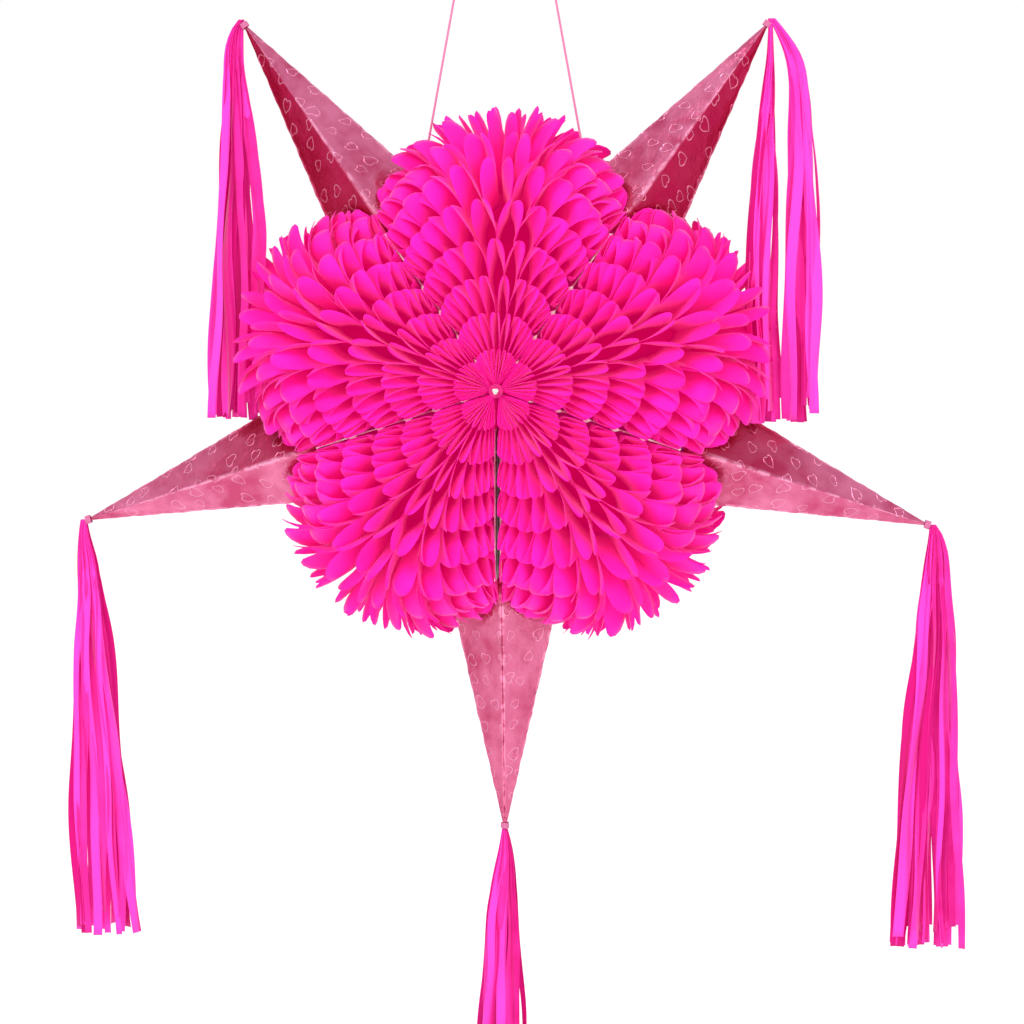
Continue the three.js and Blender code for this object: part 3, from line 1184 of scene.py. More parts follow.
@dataclass
class FoilCone:
    """A four-sided hollow cone of foil-covered card, slightly bulged and crumpled.

    Args:
        seam: the seam it stands on.
        star: the star's sizes.
        name: the piece's name.
        nodes: the CAD nodes it stands for.
        body: the body it rides on.
        joint: the joint that flattens it; not used.
        span: how much of the cone's round it covers.
        wall: thickness of the card.
        bulge: how far its faces stand out, as a share of its width.
        crumple: how far its faces and ridges wander.
        inset: from the star's outline in to the cone's ridges.
        half_gap: from the seam's plane to each half of a split cone.
        deep_quarter: the face that gets painted shade, or -1.
        deep_fade: how soon the painted shade fades towards the tip, or 0.
        deep_whole: how much painted shade the whole cone has.
        long_steps: grid steps from base to tip.
        face_steps: grid steps across a face.
    """

    seam: Seam
    star: StarFrame
    name: str
    nodes: tuple[str, ...]
    body: str
    joint: str
    span: ConeSpan = ConeSpan.WHOLE
    wall: float = 1.0 * MM
    bulge: float = 0.015
    crumple: float = 0.55 * MM
    inset: float = 0.2 * MM
    half_gap: float = 0.45 * MM
    deep_quarter: int = -1
    deep_fade: float = 0.0
    deep_whole: float = 0.0
    long_steps: int = 96
    face_steps: int = 14

    def surface(self, quarter: np.ndarray, along: np.ndarray, lift: float = 0.0) -> np.ndarray:
        """Points of the cone's outside.

        Args:
            quarter: place round the cone, in quarters from the front ridge, anticlockwise side first.
            along: share of the way from the base to the tip.
            lift: how far the points stand off the card.

        Returns:
            Positions, three columns.
        """
        star = self.star
        angle = self.seam.angle
        face = np.minimum(np.floor(quarter + 1e-9), 3.0)
        part = quarter - face
        length = star.tip_radius - star.cone_base
        half_width = star.cone_slope * length * (1.0 - along) - self.inset
        corner_side = np.array([0.0, 1.0, 0.0, -1.0, 0.0])
        corner_back = np.array([-1.0, 0.0, 1.0, 0.0, -1.0])
        first = face.astype(int)
        side = corner_side[first] * (1.0 - part) + corner_side[first + 1] * part
        back = corner_back[first] * (1.0 - part) + corner_back[first + 1] * part
        hump = 1.0 + self.bulge * np.sin(math.pi * part) * np.sin(math.pi * np.clip(along * 1.1, 0, 1))
        phase = math.radians(self.seam.value * 3.0)
        ridge = np.exp(-((np.minimum(part, 1.0 - part) / 0.12) ** 2))
        wave = np.sin(along * 47.0 + phase) + 0.7 * np.sin(along * 113.0 + 2.0 * phase)
        crease = np.sin(along * 17.0 + 5.0 * part + phase) * np.sin(math.pi * part)
        shove = self.crumple * (0.35 * ridge * wave + 0.55 * crease) * np.minimum(1.0, (1.0 - along) * 6.0)
        width = np.maximum(half_width, 0.0) * hump + shove * np.minimum(1.0, half_width / (6 * MM)) + lift
        width = np.maximum(width, 0.05 * MM)
        reach = star.cone_base + length * along
        out = np.array(outward(angle))
        across = np.array(sideways(angle))
        points = np.array(star.centre) + reach[:, None] * out + (width * side)[:, None] * across
        points[:, 1] += width * back * star.cone_depth
        return points

    def shell(self, material: Material) -> Piece:
        """Makes the cone's foil-covered card.

        Args:
            material: the foil.

        Returns:
            The piece.
        """
        start, end = self.span.value
        split = 0.0 if self.span is ConeSpan.WHOLE else self.half_gap

        def formula(along: np.ndarray, around: np.ndarray, _: np.ndarray) -> np.ndarray:
            """Wraps the grid round the cone.

            Args:
                along: share of the way from the base to the tip.
                around: share round the part of the cone.
                _: the copy's number, which isn't used.

            Returns:
                Positions, three columns.
            """
            points = self.surface(start + (end - start) * around, along)
            if split:
                direction = 1.0 if self.span is ConeSpan.CLOCKWISE_HALF else -1.0
                across = np.array(sideways(self.seam.angle))
                points += direction * split * across
            return points

        quarters = int(end - start)
        mesh = shaped_grids(self.name, self.long_steps, self.face_steps * quarters, 1, formula)
        self.print_deeper(mesh, quarters)
        self.map_foil(mesh, quarters)
        if self.span is ConeSpan.WHOLE:
            welded(mesh, 0.01 * MM)
        self.crease_ridges(mesh)
        piece = mesh_object(self.name, mesh, material)
        thickened(piece, self.wall, offset=-1.0 if self.faces_out(mesh) else 1.0)
        return piece

    def print_deeper(self, mesh: Mesh, quarters: int) -> None:
        """Marks the cone's painted shade and reflection, and its ridges for the painted highlight.

        Args:
            mesh: the cone's mesh, with its first map.
            quarters: how many faces it has.
        """
        place = np.zeros((len(mesh.vertices), 2))
        place[corner_vertices(mesh)] = read_uv(mesh)
        around = place[:, 1] * quarters
        # Painted shade and reflection: a darker crimson on one face, fading towards the tip.
        quarter = around - self.deep_quarter
        on_face = smooth(quarter * 30.0) * smooth((1.0 - quarter) * 30.0)
        if self.deep_quarter < 0:
            on_face = np.zeros_like(quarter)
        near = 1.0 - smooth(place[:, 0] * self.deep_fade)
        # Painted shade near the base, where the cone meets the lobes.
        root = 0.55 * (1.0 - smooth(place[:, 0] * 4.5))
        deep = np.maximum(np.maximum(on_face * near, root) * 0.92, self.deep_whole)
        mark_points(mesh, "Deep", deep)
        # The ridges are marked for the painted highlight along them.
        mark_points(mesh, "Ridge", np.where(np.abs(around - np.round(around)) < 0.03, 1.0, 0.0))

    def crease_ridges(self, mesh: Mesh) -> None:
        """Keeps the cone's four ridges sharp.

        Args:
            mesh: the cone's mesh.
        """
        across = sideways(self.seam.angle)
        sharp = mesh.attributes.new("sharp_edge", "BOOLEAN", "EDGE")
        flags = []
        for edge in mesh.edges:
            arms = [mesh.vertices[index].co - self.star.centre for index in edge.vertices]
            front = all(abs(arm.dot(across)) < 0.75 * MM for arm in arms)
            side = all(abs(arm.y) < 0.05 * MM for arm in arms)
            flags.append(front or side)
        sharp.data.foreach_set("value", flags)

    def faces_out(self, mesh: Mesh) -> bool:
        """Whether the mesh's faces point away from the cone's axis.

        Args:
            mesh: the cone's mesh.

        Returns:
            True if they do.
        """
        polygon = mesh.polygons[len(mesh.polygons) // 2]
        out = outward(self.seam.angle)
        arm = polygon.center - self.star.centre
        arm -= out * arm.dot(out)
        return polygon.normal.dot(arm) > 0.0

    def map_foil(self, mesh: Mesh, quarters: int) -> None:
        """Scales the map to metres, so that the embossing keeps its size.

        Args:
            mesh: the cone's mesh, with its first map.
            quarters: how many faces it has.
        """
        length = self.star.tip_radius - self.star.cone_base
        values = read_uv(mesh)
        around = values[:, 1] - 0.5
        taper = 1.0 - values[:, 0]
        values[:, 1] = around * quarters * taper * length * self.star.cone_slope * 1.28
        values[:, 0] = values[:, 0] * length + 0.37 * abs(self.seam.value)
        mesh.uv_layers["UVMap"].data.foreach_set("uv", values.ravel())

    def build(self, material: Material) -> Piece:
        """Makes and dresses the cone.

        Args:
            material: the foil.

        Returns:
            The piece.
        """
        piece = self.shell(material)
        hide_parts(*self.nodes)
        self.settle(piece)
        return piece

    def settle(self, piece: Piece) -> None:
        """Puts the cone on its body and gives it its own mesh.

        Args:
            piece: the cone.
        """
        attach(piece, self.body)
        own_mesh(piece)


@dataclass
class FillCone(FoilCone):
    """The cone with the fill hole in its upper back face, and the flap that covers it.

    Args:
        hole_along: the hole's ends, as shares from the cone's base to its tip.
        hole_part: the hole's sides, as shares across the face from the back ridge.
        end_margin: how far the flap covers the foil past the hole's ends.
        ridge_margin: the same towards the back ridge.
        flap_margin: the same at the flap's free side.
        flap_lift: how far the flap stands off the card.
    """

    hole_along: tuple[float, float] = (0.225, 0.39)
    hole_part: tuple[float, float] = (0.14, 0.72)
    end_margin: float = 0.02
    ridge_margin: float = 0.05
    flap_margin: float = 0.09
    flap_lift: float = 1.7 * MM

    def cut_hole(self, piece: Piece) -> None:
        """Opens the fill hole by taking the faces inside its outline away.

        Args:
            piece: the cone.
        """
        star = self.star
        length = star.tip_radius - star.cone_base
        low_at, high_at = (star.cone_base + length * share for share in self.hole_along)
        low_part, high_part = self.hole_part
        angle = self.seam.angle
        out, across = outward(angle), sideways(angle)
        work = bmesh.new()
        work.from_mesh(piece.data)
        gone = []
        for face in work.faces:
            middle = face.calc_center_median() - star.centre
            side, at = middle.dot(across), middle.dot(out)
            if middle.y <= 0.0 or side >= 0.0 or not low_at <= at <= high_at:
                continue
            width = star.cone_slope * (star.tip_radius - at)
            if low_part <= -side / width <= high_part:
                gone.append(face)
        bmesh.ops.delete(work, geom=gone, context="FACES")
        work.to_mesh(piece.data)
        work.free()
        piece.data.update()

    def flap(self, material: Material) -> Piece:
        """Makes the flap over the fill hole.

        Args:
            material: the foil.

        Returns:
            The piece.
        """
        low_at, high_at = self.hole_along[0] - self.end_margin, self.hole_along[1] + self.end_margin
        low_part, high_part = self.hole_part[0] - self.ridge_margin, self.hole_part[1] + self.flap_margin
        back_ridge = 2.0

        def formula(along: np.ndarray, across: np.ndarray, _: np.ndarray) -> np.ndarray:
            """Lays the flap over the hole with round corners.

            Args:
                along: share along the flap.
                across: share across it, from the back ridge.
                _: the copy's number, which isn't used.

            Returns:
                Positions, three columns.
            """
            corner = 1.0 - 0.08 * smooth((across - 0.8) / 0.2) * np.abs(along * 2 - 1) ** 6
            at = low_at + (high_at - low_at) * (0.5 + (along - 0.5) * corner)
            part = low_part + (high_part - low_part) * across
            return self.surface(back_ridge + part, at, lift=self.flap_lift)

        mesh = shaped_grids("foil_flap", 24, 16, 1, formula)
        piece = thickened(mesh_object("foil_flap", mesh, material), 0.7 * MM)
        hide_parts("fill_flap")
        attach(piece, "fill_flap")
        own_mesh(piece)
        return piece

    def build(self, material: Material) -> Piece:
        """Makes the cone, opens its fill hole and adds the flap.

        Args:
            material: the foil.

        Returns:
            The cone's piece.
        """
        piece = self.shell(material)
        self.cut_hole(piece)
        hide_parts(*self.nodes)
        self.settle(piece)
        self.flap(material)
        return piece


# ---------------------------------------------------------------- tassels


@dataclass(frozen=True)
class Bundle:
    """One bundle of a tassel's strips.

    Args:
        course: rows of distance below the tip, shift of the bundle's middle, and half width.
        strips: how many strips it has.
        depth: half its thickness from front to back, at its lower end.
        neck: length over which it is twisted thin below the tip.
        crease: how far below the tip its flat fold is.
    """

    course: tuple[tuple[float, float, float], ...]
    strips: int
    depth: float = 13 * MM
    neck: float = 12 * MM
    crease: float = 40 * MM

    def at(self, down: np.ndarray) -> tuple[np.ndarray, np.ndarray]:
        """The bundle's course at a distance below the tip.

        Args:
            down: the distance.

        Returns:
            The shift of the bundle's middle, and its half width.
        """
        table = np.array(self.course) * MM
        steps = np.linspace(0.0, table[-1, 0], 161)
        middle = np.interp(steps, table[:, 0], table[:, 1])
        half = np.interp(steps, table[:, 0], table[:, 2])
        kernel = np.hanning(17)[1:-1] / np.hanning(17).sum()
        soft = [np.convolve(np.pad(row, 7, mode="edge"), kernel, "valid") for row in (middle, half)]
        blend = smooth(steps / (14 * MM))
        middle = middle + (soft[0] - middle) * blend
        half = half + (soft[1] - half) * blend
        return np.interp(down, steps, middle), np.interp(down, steps, half)


@dataclass
class Tassel:
    """Bundles of cut tissue strips, uncut and gathered at the top.

    Args:
        seam: the cone it hangs from.
        star: the star's sizes.
        bundles: its bundles.
        width: of one strip.
        header: how far below the tip the cuts start.
        steps: grid steps along one strip.
        drift: how far a strip wanders sideways.
        billow: how far it wanders to the front and the back.
        fold_depth: of the flat fold across the bundle.
        crinkle: of the small creases where the strips are gathered.
        tie_radius: of the thread's turns round the cone's tip.
        tie_turns: how many turns it makes.
        tie_thread: the thread's radius.
    """

    seam: Seam
    star: StarFrame
    bundles: tuple[Bundle, ...]
    width: float = 8.5 * MM
    header: float = 46 * MM
    steps: int = 46
    drift: float = 1.7 * MM
    billow: float = 1.6 * MM
    fold_depth: float = 1.3 * MM
    crinkle: float = 0.35 * MM
    tie_radius: float = 2.7 * MM
    tie_turns: int = 5
    tie_thread: float = 0.42 * MM

    def strips(self, number: int, bundle: Bundle, length: float, tip: Vector) -> Mesh:
        """Makes one bundle's strips.

        Args:
            number: the bundle's number.
            bundle: the bundle.
            length: from the tip to the longest strip's end.
            tip: the cone's tip.

        Returns:
            The mesh.
        """
        chance = np.random.default_rng(SEED + 7 + number + int(self.seam.value) % 360)
        count = bundle.strips
        slots = (np.arange(count) + 0.5) / count * 2.0 - 1.0
        column = chance.permutation(slots) + chance.uniform(-0.08, 0.08, count)
        ply = self.width * chance.uniform(0.45, 1.1, count)
        layer = chance.uniform(-1.0, 1.0, count)
        yaw = chance.normal(0.0, 0.5, count)
        twist = chance.normal(0.0, 0.5, count)
        phase = chance.uniform(0.0, 2 * math.pi, (count, 4))
        cut = chance.uniform(0.0, 1.0, count) ** 2 * 22 * MM
        head = self.header * chance.uniform(0.7, 1.3, count)

        def formula(along: np.ndarray, across: np.ndarray, strip: np.ndarray) -> np.ndarray:
            """Hangs every strip.

            Args:
                along: share down the strip.
                across: share across it.
                strip: the strip's number.

            Returns:
                Positions, three columns.
            """
            down = along * (length - cut[strip])
            middle, half = bundle.at(down)
            free = smooth((down - head[strip] * 0.4) / (70 * MM))
            gather = smooth((down - bundle.neck * 0.5) / (bundle.neck + 40 * MM))
            half_strip = ply[strip] / 2 * (0.3 + 0.7 * gather)
            reach = np.maximum(half - half_strip * 0.8, 0.5 * MM)
            far = np.clip(down / length, 0.0, 1.0)
            drift = np.sin(down * 21.0 + phase[strip, 1]) + 0.6 * np.sin(down * 47.0 + phase[strip, 3])
            x = middle + column[strip] * reach + self.drift * drift * free
            swell = 0.18 + 0.82 * smooth(down / (150 * MM))
            billow = self.billow * np.sin(down * 27.0 + phase[strip, 2])
            depth = layer[strip] * bundle.depth * swell + billow * free
            angle = yaw[strip] * (0.5 + 0.5 * gather) + twist[strip] * far
            angle = angle + 0.5 * np.sin(down * 26.0 + phase[strip, 0]) * free
            offset = (across - 0.5) * 2.0 * half_strip
            fold = np.sin(across * math.pi) * (0.8 + 1.4 * (1.0 - free)) * MM
            crease = self.crinkle * np.sin(down * 310.0 + phase[strip, 1]) * (1.0 - free) * gather
            crease = crease - self.fold_depth * np.exp(-(((down - bundle.crease) / (1.1 * MM)) ** 2))
            px = tip.x + x + offset * np.cos(angle) - fold * np.sin(angle)
            py = tip.y + depth + offset * np.sin(angle) + fold * np.cos(angle) + crease
            return np.stack([px, py, tip.z + 1 * MM - down], axis=1)

        return shaped_grids(f"strips_{self.seam.word}_{number}", self.steps, 3, count, formula)

    def build(self, finishes: Wardrobe) -> None:
        """Makes and dresses the tassel and its tie.

        Args:
            finishes: the materials.
        """
        word = self.seam.word
        low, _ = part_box(f"tassel_{word}")
        tip = self.star.centre + outward(self.seam.angle) * self.star.tip_radius
        for number, bundle in enumerate(self.bundles):
            mesh = self.strips(number, bundle, tip.z - low.z, tip)
            piece = mesh_object(f"tissue_strips_{word}_{number + 1}", mesh, finishes.tassel_tissue)
            thickened(piece, 0.2 * MM)
            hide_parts(f"tassel_{word}")
            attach(piece, f"tassel_{word}")
        self.tie(finishes.thread)

    def tie(self, material: Material) -> Piece:
        """Winds the thread that holds the tassel round the cone's tip.

        Args:
            material: the thread.

        Returns:
            The piece.
        """
        word = self.seam.word
        low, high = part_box(f"tassel_tie_{word}")
        middle = (low + high) / 2
        angle = self.seam.angle
        out, across, back = outward(angle), sideways(angle), Vector((0.0, 1.0, 0.0))
        turn_steps = 16
        steps = self.tie_turns * turn_steps
        width = self.tie_turns * self.tie_thread * 1.9
        points = []
        for step in range(steps + 1):
            turn = step / turn_steps * 2 * math.pi
            round_tip = across * math.cos(turn) + back * math.sin(turn)
            points.append(middle + out * ((step / steps - 0.5) * width) + round_tip * self.tie_radius)
        mesh = tube_mesh(f"thread_tie_{word}", points, self.tie_thread, 8)
        piece = mesh_object(f"thread_tie_{word}", mesh, material)
        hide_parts(f"tassel_tie_{word}")
        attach(piece, f"tie_{word}")
        return piece


# ---------------------------------------------------------------- string, knots and card


def knot_line(centre: Vector, size: float, steps: int = 72) -> list[Vector]:
    """The line of a small overhand knot drawn tight.

    Args:
        centre: the knot's middle.
        size: half its width.
        steps: points on the line.

    Returns:
        The closed line's points.
    """
    points = []
    for step in range(steps):
        turn = step / steps * 2 * math.pi
        x = math.sin(turn) + 2 * math.sin(2 * turn)
        z = math.cos(turn) - 2 * math.cos(2 * turn)
        y = -math.sin(3 * turn)
        points.append(centre + Vector((x, y * 1.3, z)) * (size / 3.0))
    return points


@dataclass
class HangingString:
    """The two strands of the hanging loop, their anchors on the upper cones and the knot between them.

    Args:
        star: the star's sizes; not used.
        radius: of the string.
        loop_radius: how widely the string bends over whatever it hangs from.
        fold: how far an upper segment turns when the star is folded; not used.
        folded_edge: what the squash leaves of a cone's width; not used.
        straight_steps: points on a strand's straight part.
        arc_steps: points on its part of the loop's top.
    """

    star: StarFrame
    radius: float = 0.8 * MM
    loop_radius: float = 18.2 * MM
    fold: float = math.radians(32.4)
    folded_edge: float = 0.14
    straight_steps: int = 40
    arc_steps: int = 14

    def build(self, finishes: Wardrobe) -> None:
        """Args:
            finishes: the materials.
        """
        low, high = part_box("hanging_knot")
        top = (low + high) / 2
        size = high.z - top.z
        knot = self.knot("string_knot", top, size, finishes.thread)
        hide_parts("hanging_knot")
        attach(knot, "hanger")
        self.strand(-1, top, size, finishes.thread)
        self.strand(1, top, size, finishes.thread)

    def knot(self, name: str, centre: Vector, size: float, material: Material) -> Piece:
        """Makes one tight knot of the string.

        Args:
            name: the piece's name.
            centre: the knot's middle.
            size: half its width.
            material: the thread.

        Returns:
            The piece.
        """
        mesh = tube_mesh(name, knot_line(centre, size * 0.8), size * 0.3, 10, True)
        return mesh_object(name, mesh, material)

    def line(self, side: int, anchor: Vector, bead: float, top: Vector, knot: float) -> list[Vector]:
        """The line of one strand, from its bead up and round the loop's top.

        Args:
            side: -1 for the left strand, 1 for the right one.
            anchor: the bead's middle.
            bead: the bead's radius.
            top: the middle of the knot.
            knot: its radius.

        Returns:
            Points from the bead's surface to the knot's surface.
        """
        middle = top - Vector((0.0, 0.0, self.loop_radius))
        arm = anchor - middle
        leave = math.atan2(arm.z, arm.x) + side * math.acos(self.loop_radius / arm.length)
        knot_turn = (knot + 0.3 * MM) / self.loop_radius
        end = math.pi / 2 - knot_turn if side > 0 else -1.5 * math.pi + knot_turn
        tangent = middle + outward(leave) * self.loop_radius
        start = anchor + (tangent - anchor).normalized() * (bead + 0.4 * MM)
        points = [start.lerp(tangent, share) for share in np.linspace(0.0, 1.0, self.straight_steps)[:-1]]
        turns = np.linspace(leave, end, self.arc_steps)
        return points + [middle + outward(turn) * self.loop_radius for turn in turns]

    def bend(self, piece: Piece) -> None:
        """Bakes a piece of the strand in place.

        Args:
            piece: the strand or its bead.
        """
        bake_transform(piece)

    def strand(self, side: int, top: Vector, knot: float, material: Material) -> None:
        """Makes one strand and its bead.

        Args:
            side: -1 for the left strand, 1 for the right one.
            top: the middle of the knot.
            knot: its radius.
            material: the thread.
        """
        word = "right" if side > 0 else "left"
        low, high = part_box(f"string_anchor_{word}")
        anchor = (low + high) / 2
        bead = high.z - anchor.z
        line = self.line(side, anchor, bead, top, knot)
        bead_piece = self.knot(f"anchor_knot_{word}", anchor, bead, material)
        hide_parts(f"string_anchor_{word}")
        self.bend(bead_piece)
        name = f"string_{word}"
        piece = mesh_object(name, tube_mesh(name, line, self.radius, 10), material)
        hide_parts(f"hanging_string_{word}")
        self.bend(piece)


class SpineKnots:
    """The white knots that stop the spine at the front and at the back."""

    def build(self, finishes: Wardrobe) -> None:
        """Makes and dresses both knots.

        Args:
            finishes: the materials.
        """
        for side in ("front", "back"):
            low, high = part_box(f"spine_knot_{side}")
            centre = (low + high) / 2
            size = (high.x - low.x) / 2
            name = f"cotton_knot_{side}"
            line = knot_line(centre, size * 0.5)
            piece = mesh_object(name, tube_mesh(name, line, size * 0.24, 10, True), finishes.cotton)
            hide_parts(f"spine_knot_{side}")
            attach(piece, "hanger")


@dataclass
class GlueTabs:
    """The small white tabs along a seam, where each glued row of tissue is fixed to the board.

    Args:
        seam: the seam.
        body: the body they ride on.
        star: the star's sizes.
        outline: the lobes' section at the glued rows.
        rows: petals along one sheet.
        margin: from the outline's ends to the first glued row.
        half_width: of the widest tab.
        half_length: of a tab.
        tabbed: how many rows have tabs, counted from the front's middle and from the back's.
        radius_share: where the outline's radius has sunk to at a seam.
        depth_share: where its depth has sunk to.
        stand_off: how far the tabs stand off there.
        curl: how far their sides bend back.
    """

    seam: Seam
    body: str
    star: StarFrame
    outline: LobeOutline
    rows: int = 17
    margin: float = 3 * MM
    tabbed: int = 5
    radius_share: float = 0.83
    depth_share: float = 0.925
    stand_off: float = 1.5 * MM
    curl: float = 1.2 * MM
    half_width: float = 2.3 * MM
    half_length: float = 4.2 * MM

    def build(self, material: Material) -> Piece:
        """Makes and dresses the tabs.

        Args:
            material: the card.

        Returns:
            The piece.
        """
        pitch = (self.outline.length - 2 * self.margin) / self.rows
        steps = [*range(1, self.tabbed + 1), *range(self.rows - self.tabbed, self.rows)]
        angle = self.seam.angle
        out, across = np.array(outward(angle)), np.array(sideways(angle))

        def formula(along: np.ndarray, wide: np.ndarray, copy: np.ndarray) -> np.ndarray:
            """Places every tab over its row.

            Args:
                along: share along the seam.
                wide: share across it.
                copy: the tab's number.

            Returns:
                Positions, three columns.
            """
            row = np.array(steps)[copy]
            line = self.margin + pitch * row + (along - 0.5) * 2.0 * self.half_length
            radius, depth = self.outline.place(line, np.zeros_like(line))
            radius = radius * self.radius_share
            depth = depth * self.depth_share + np.sign(depth) * self.stand_off
            side = np.clip(0.035 * radius, 0.6 * MM, self.half_width)
            side = (wide - 0.5) * 2.0 * side * np.maximum(1.0 - np.abs(along * 2.0 - 1.0) ** 1.5, 0.08)
            depth = depth - np.sign(depth) * self.curl * (wide * 2.0 - 1.0) ** 2
            points = np.array(self.star.centre) + radius[:, None] * out + side[:, None] * across
            points[:, 1] += depth
            return points

        name = f"glue_tabs_{self.seam.word}"
        piece = mesh_object(name, shaped_grids(name, 8, 6, len(steps), formula), material)
        thickened(piece, 0.5 * MM)
        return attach(piece, self.body)


def dress_card(finishes: Wardrobe) -> None:
    """Gives the boards, the spine tube and the closing strips their finishes.

    Args:
        finishes: the materials.
    """
    dressed = {f"seam_board_{seam.word}": finishes.card for seam in Seam if seam is not Seam.BOTTOM}
    for side in ("left", "right"):
        dressed[f"closing_board_{side}"] = finishes.card
        dressed[f"closing_strip_{side}"] = finishes.card
    dressed["spine_tube"] = finishes.dyed_card
    for name, material in dressed.items():
        piece = bpy.data.objects[name]
        piece.data.materials.clear()
        piece.data.materials.append(material)


# ---------------------------------------------------------------- the set


@dataclass
class Studio:
    """The floor, the soft lights and the camera.

    Args:
        star: the star's sizes.
        azimuth: of the camera, in degrees to the star's right.
        elevation: of the camera, in degrees.
        distance: from the camera to the point it looks at.
        frame_width: what the view covers there, from side to side.
        aim: the point it looks at, from the star's centre.
        sensor: width of the camera's sensor, in millimetres.
        floor_size: half the floor's side.
        floor_drop: from the part's lowest point down to the floor.
    """

    star: StarFrame
    azimuth: float = 4.5
    elevation: float = 4.5
    distance: float = 3.2
    frame_width: float = 0.7405
    aim: tuple = (5.2 * MM, 0.0, -91.6 * MM)
    sensor: float = 36.0
    floor_size: float = 30.0
    floor_drop: float = 0.05

    def camera(self) -> None:
        """Makes the camera and aims it."""
        data = bpy.data.cameras.new("Camera")
        camera = bpy.data.objects.new("Camera", data)
        bpy.context.scene.collection.objects.link(camera)
        data.sensor_width = self.sensor
        data.lens = self.sensor * self.distance / self.frame_width
        turn, rise = math.radians(self.azimuth), math.radians(self.elevation)
        back = Vector((math.sin(turn) * math.cos(rise), -math.cos(turn) * math.cos(rise), math.sin(rise)))
        camera.location = self.star.centre + Vector(self.aim) + back * self.distance
        camera.rotation_mode = "QUATERNION"
        camera.rotation_quaternion = (-back).to_track_quat("-Z", "Y")
        data.clip_end = 60.0
        bpy.context.scene.camera = camera

    def light(self, name: str, place: tuple, size: float, power: float) -> None:
        """Adds one soft square light that faces the star.

        Args:
            name: the light's name.
            place: where it stands, from the star's centre.
            size: its side.
            power: in watts.
        """
        data = bpy.data.lights.new(name, "AREA")
        data.shape = "SQUARE"
        data.size = size
        data.energy = power
        lamp = bpy.data.objects.new(name, data)
        bpy.context.scene.collection.objects.link(lamp)
        lamp.location = self.star.centre + Vector(place)
        lamp.rotation_mode = "QUATERNION"
        lamp.rotation_quaternion = (self.star.centre - lamp.location).to_track_quat("-Z", "Y")

    def surroundings(self, tree: bpy.types.NodeTree) -> None:
        """Makes the pale surroundings: plain where they are seen, softly graded as light.

        Args:
            tree: the world's node tree.
        """
        nodes, links = tree.nodes, tree.links
        plain = nodes["Background"]
        plain.inputs["Color"].default_value = (1.0, 1.0, 1.0, 1.0)
        plain.inputs["Strength"].default_value = 1.0
        graded = nodes.new("ShaderNodeBackground")
        place = nodes.new("ShaderNodeTexCoord")
        parts = nodes.new("ShaderNodeSeparateXYZ")
        links.new(place.outputs["Generated"], parts.inputs[0])
        ramp = nodes.new("ShaderNodeMapRange")
        for key, value in {"From Min": -0.7, "From Max": 0.9, "To Min": 0.5, "To Max": 1.25}.items():
            ramp.inputs[key].default_value = value
        links.new(parts.outputs["Z"], ramp.inputs["Value"])
        links.new(ramp.outputs["Result"], graded.inputs["Strength"])
        seen = nodes.new("ShaderNodeLightPath")
        mix = nodes.new("ShaderNodeMixShader")
        links.new(seen.outputs["Is Camera Ray"], mix.inputs[0])
        links.new(graded.outputs[0], mix.inputs[1])
        links.new(plain.outputs[0], mix.inputs[2])
        links.new(mix.outputs[0], nodes["World Output"].inputs["Surface"])

    def build(self) -> None:
        """Makes the floor, the lights and the pale surroundings."""
        work = bmesh.new()
        bmesh.ops.create_grid(work, x_segments=1, y_segments=1, size=self.floor_size)
        bmesh.ops.translate(work, verts=work.verts, vec=(0.0, 0.0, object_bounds()[0].z - self.floor_drop))
        mesh = bpy.data.meshes.new("floor")
        work.to_mesh(mesh)
        work.free()
        floor_finish = Shading("Pale floor")
        floor_finish.set(
            Base_Color=(0.96, 0.96, 0.96, 1.0),
            Roughness=0.9,
            Emission_Color=(1.0, 1.0, 1.0, 1.0),
            Emission_Strength=0.2,
        )
        mesh_object("floor", mesh, floor_finish.material)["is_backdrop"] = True
        world = bpy.data.worlds.new("Pale studio")
        bpy.context.scene.world = world
        bpy.context.scene.view_settings.view_transform = "Standard"
        world.use_nodes = True
        self.surroundings(world.node_tree)
        self.light("Key", (-1.0, -2.0, 1.9), 1.2, 48.0)
        self.light("Fill", (1.6, -1.8, 0.4), 1.4, 16.0)


# ---------------------------------------------------------------- assembly


def build_lobes(star: StarFrame, finishes: Wardrobe) -> None:
    """Makes the five lobes.

    Args:
        star: the star's sizes.
        finishes: the materials.
    """
    outline = LobeOutline(star)
    halves = [
        ("top_right_half", "top_right_segment", "hanger", (-1.0, 0.0)),
        ("top_left_half", "hanger", "top_left_segment", (0.0, 1.0)),
    ]
    for word, low_body, high_body, span in halves:
        node = "honeycomb_lobe_top"
        HoneycombLobe(word, node, 90.0, low_body, high_body, star, outline, span).build(finishes)
        LOG.info("lobe %s", word)
    plan = [
        ("upper_right", 18.0, "right_segment", "top_right_segment"),
        ("lower_right", -54.0, "bottom_right_cover", "right_segment"),
        ("lower_left", 234.0, "left_segment", "bottom_left_cover"),
        ("upper_left", 162.0, "top_left_segment", "left_segment"),
    ]
    for word, angle, low_body, high_body in plan:
        node = f"honeycomb_lobe_{word}"
        pieces = HoneycombLobe(word, node, angle, low_body, high_body, star, outline).build(finishes)
        LOG.info("lobe %s: %d faces", word, len(pieces[0].data.polygons))


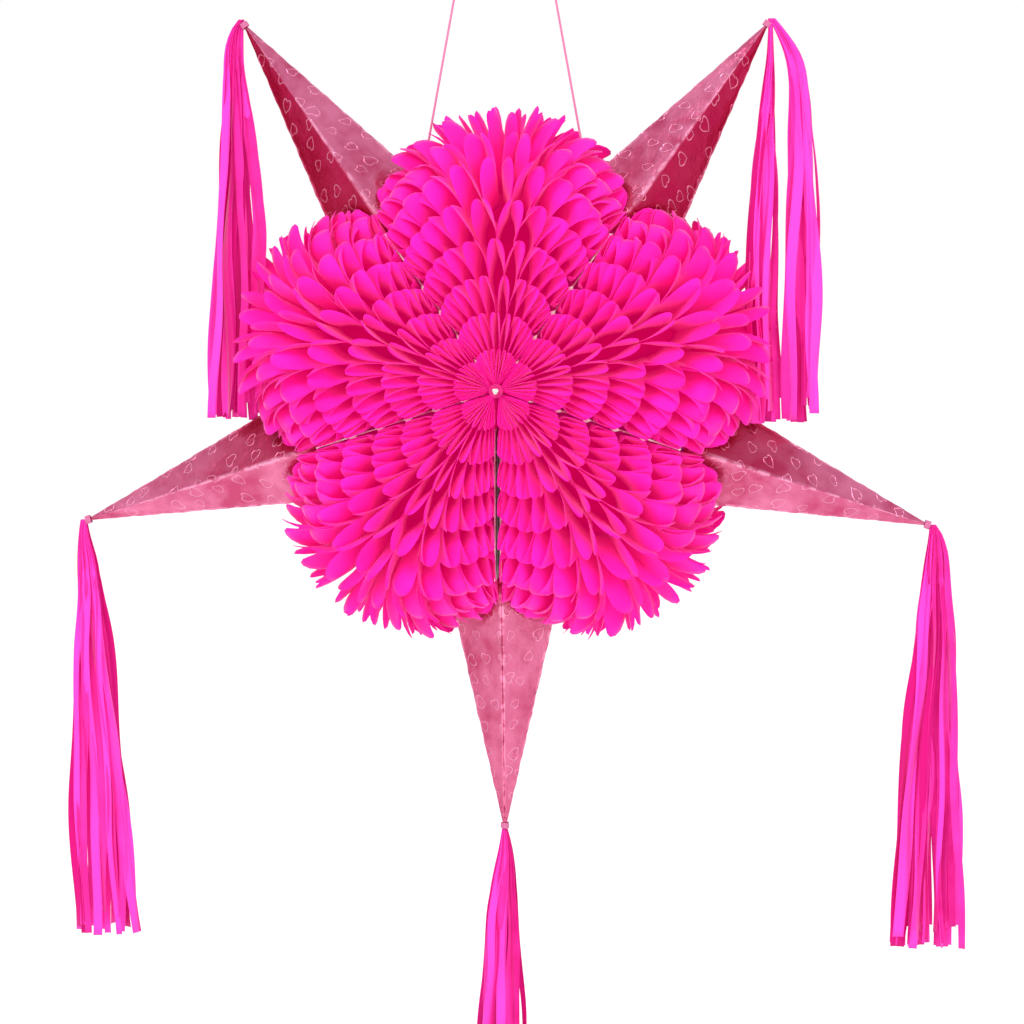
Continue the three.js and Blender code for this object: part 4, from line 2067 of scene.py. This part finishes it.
def build_cones(star: StarFrame, finishes: Wardrobe) -> None:
    """Makes the four whole cones and the two halves of the bottom one.

    Args:
        star: the star's sizes.
        finishes: the materials.
    """
    for seam, body in SEAM_BODY.items():
        kind = FillCone if seam is Seam.TOP_LEFT else FoilCone
        node = f"foil_cone_{seam.word}"
        cone = kind(seam, star, f"foil_shell_{seam.word}", (node,), body, SEAM_JOINT[seam])
        cone.deep_quarter, cone.deep_fade = DEEP_FACE[seam]
        cone.build(finishes.foil)
        LOG.info("cone %s", seam.word)
    halves = [
        ("right", ConeSpan.CLOCKWISE_HALF, "bottom_right_cover", "fan_fold_bottom_right"),
        ("left", ConeSpan.ANTICLOCKWISE_HALF, "bottom_left_cover", "fan_fold_bottom_left"),
    ]
    for side, span, body, joint in halves:
        node = f"foil_half_cone_bottom_{side}"
        name = f"foil_half_shell_{side}"
        half = FoilCone(Seam.BOTTOM, star, name, (node,), body, joint, span, deep_whole=0.16)
        half.build(finishes.foil)
        LOG.info("half cone %s", side)


def build_tassels(star: StarFrame, finishes: Wardrobe) -> None:
    """Makes the five tassels.

    Args:
        star: the star's sizes.
        finishes: the materials.
    """
    plan = {
        Seam.TOP_LEFT: (
            Bundle(
                (
                    *((0, 0, 2), (10, -6, 4), (24, -7, 6), (60, -6, 8)),
                    *((110, -5, 12), (180, -8, 15), (320, -9, 17)),
                ),
                19,
            ),
            Bundle(((0, 0, 1.5), (40, -1, 3), (90, 6, 5), (150, 13, 4), (320, 13, 5)), 3, 5 * MM),
        ),
        Seam.TOP_RIGHT: (
            Bundle(
                ((0, 0, 1.2), (28, 0, 2.4), (60, -1, 5), (110, -3, 9), (210, -7, 12.5), (320, -3, 14)),
                14,
                neck=26 * MM,
                crease=30 * MM,
            ),
            Bundle(
                (
                    *((0, 1, 2), (20, 14, 5.5), (34, 19, 6.5), (60, 21.5, 8)),
                    *((100, 24, 10), (200, 24, 14), (320, 23, 15)),
                ),
                17,
                neck=8 * MM,
                crease=89 * MM,
            ),
        ),
        Seam.RIGHT: (
            Bundle(
                (
                    *((0, 0, 2), (10, 3, 6), (24, 3, 9), (72, 2, 14)),
                    *((131, 0, 19), (205, -1, 25), (320, -3, 30)),
                ),
                32,
            ),
        ),
        Seam.BOTTOM: (
            Bundle(((0, 0, 2), (14, 1, 5), (30, 0, 8), (60, -2, 12), (131, -3, 17), (320, -5, 21)), 22),
        ),
        Seam.LEFT: (
            Bundle(
                (
                    *((0, 0, 2), (12, 0, 4), (28, 2, 7), (72, 5, 10)),
                    *((131, 6, 15), (205, 9, 19.5), (320, 12, 22)),
                ),
                25,
            ),
            Bundle(((0, 0, 1.5), (72, 9, 3), (205, 27, 4), (320, 39, 5)), 3, 5 * MM),
        ),
    }
    for seam, bundles in plan.items():
        Tassel(seam, star, bundles).build(finishes)
        LOG.info("tassel %s", seam.word)


def main() -> None:
    """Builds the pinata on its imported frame."""
    logging.basicConfig(level=logging.INFO, format="%(name)s: %(message)s")
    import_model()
    star = StarFrame.read()
    studio = Studio(star)
    studio.camera()
    finishes = Wardrobe.build()
    HangingString(star).build(finishes)
    build_lobes(star, finishes)
    build_cones(star, finishes)
    build_tassels(star, finishes)
    SpineKnots().build(finishes)
    for seam, body in SEAM_BODY.items():
        GlueTabs(seam, body, star, LobeOutline(star)).build(finishes.card)
    dress_card(finishes)
    studio.build()


if __name__ == "__main__":
    main()
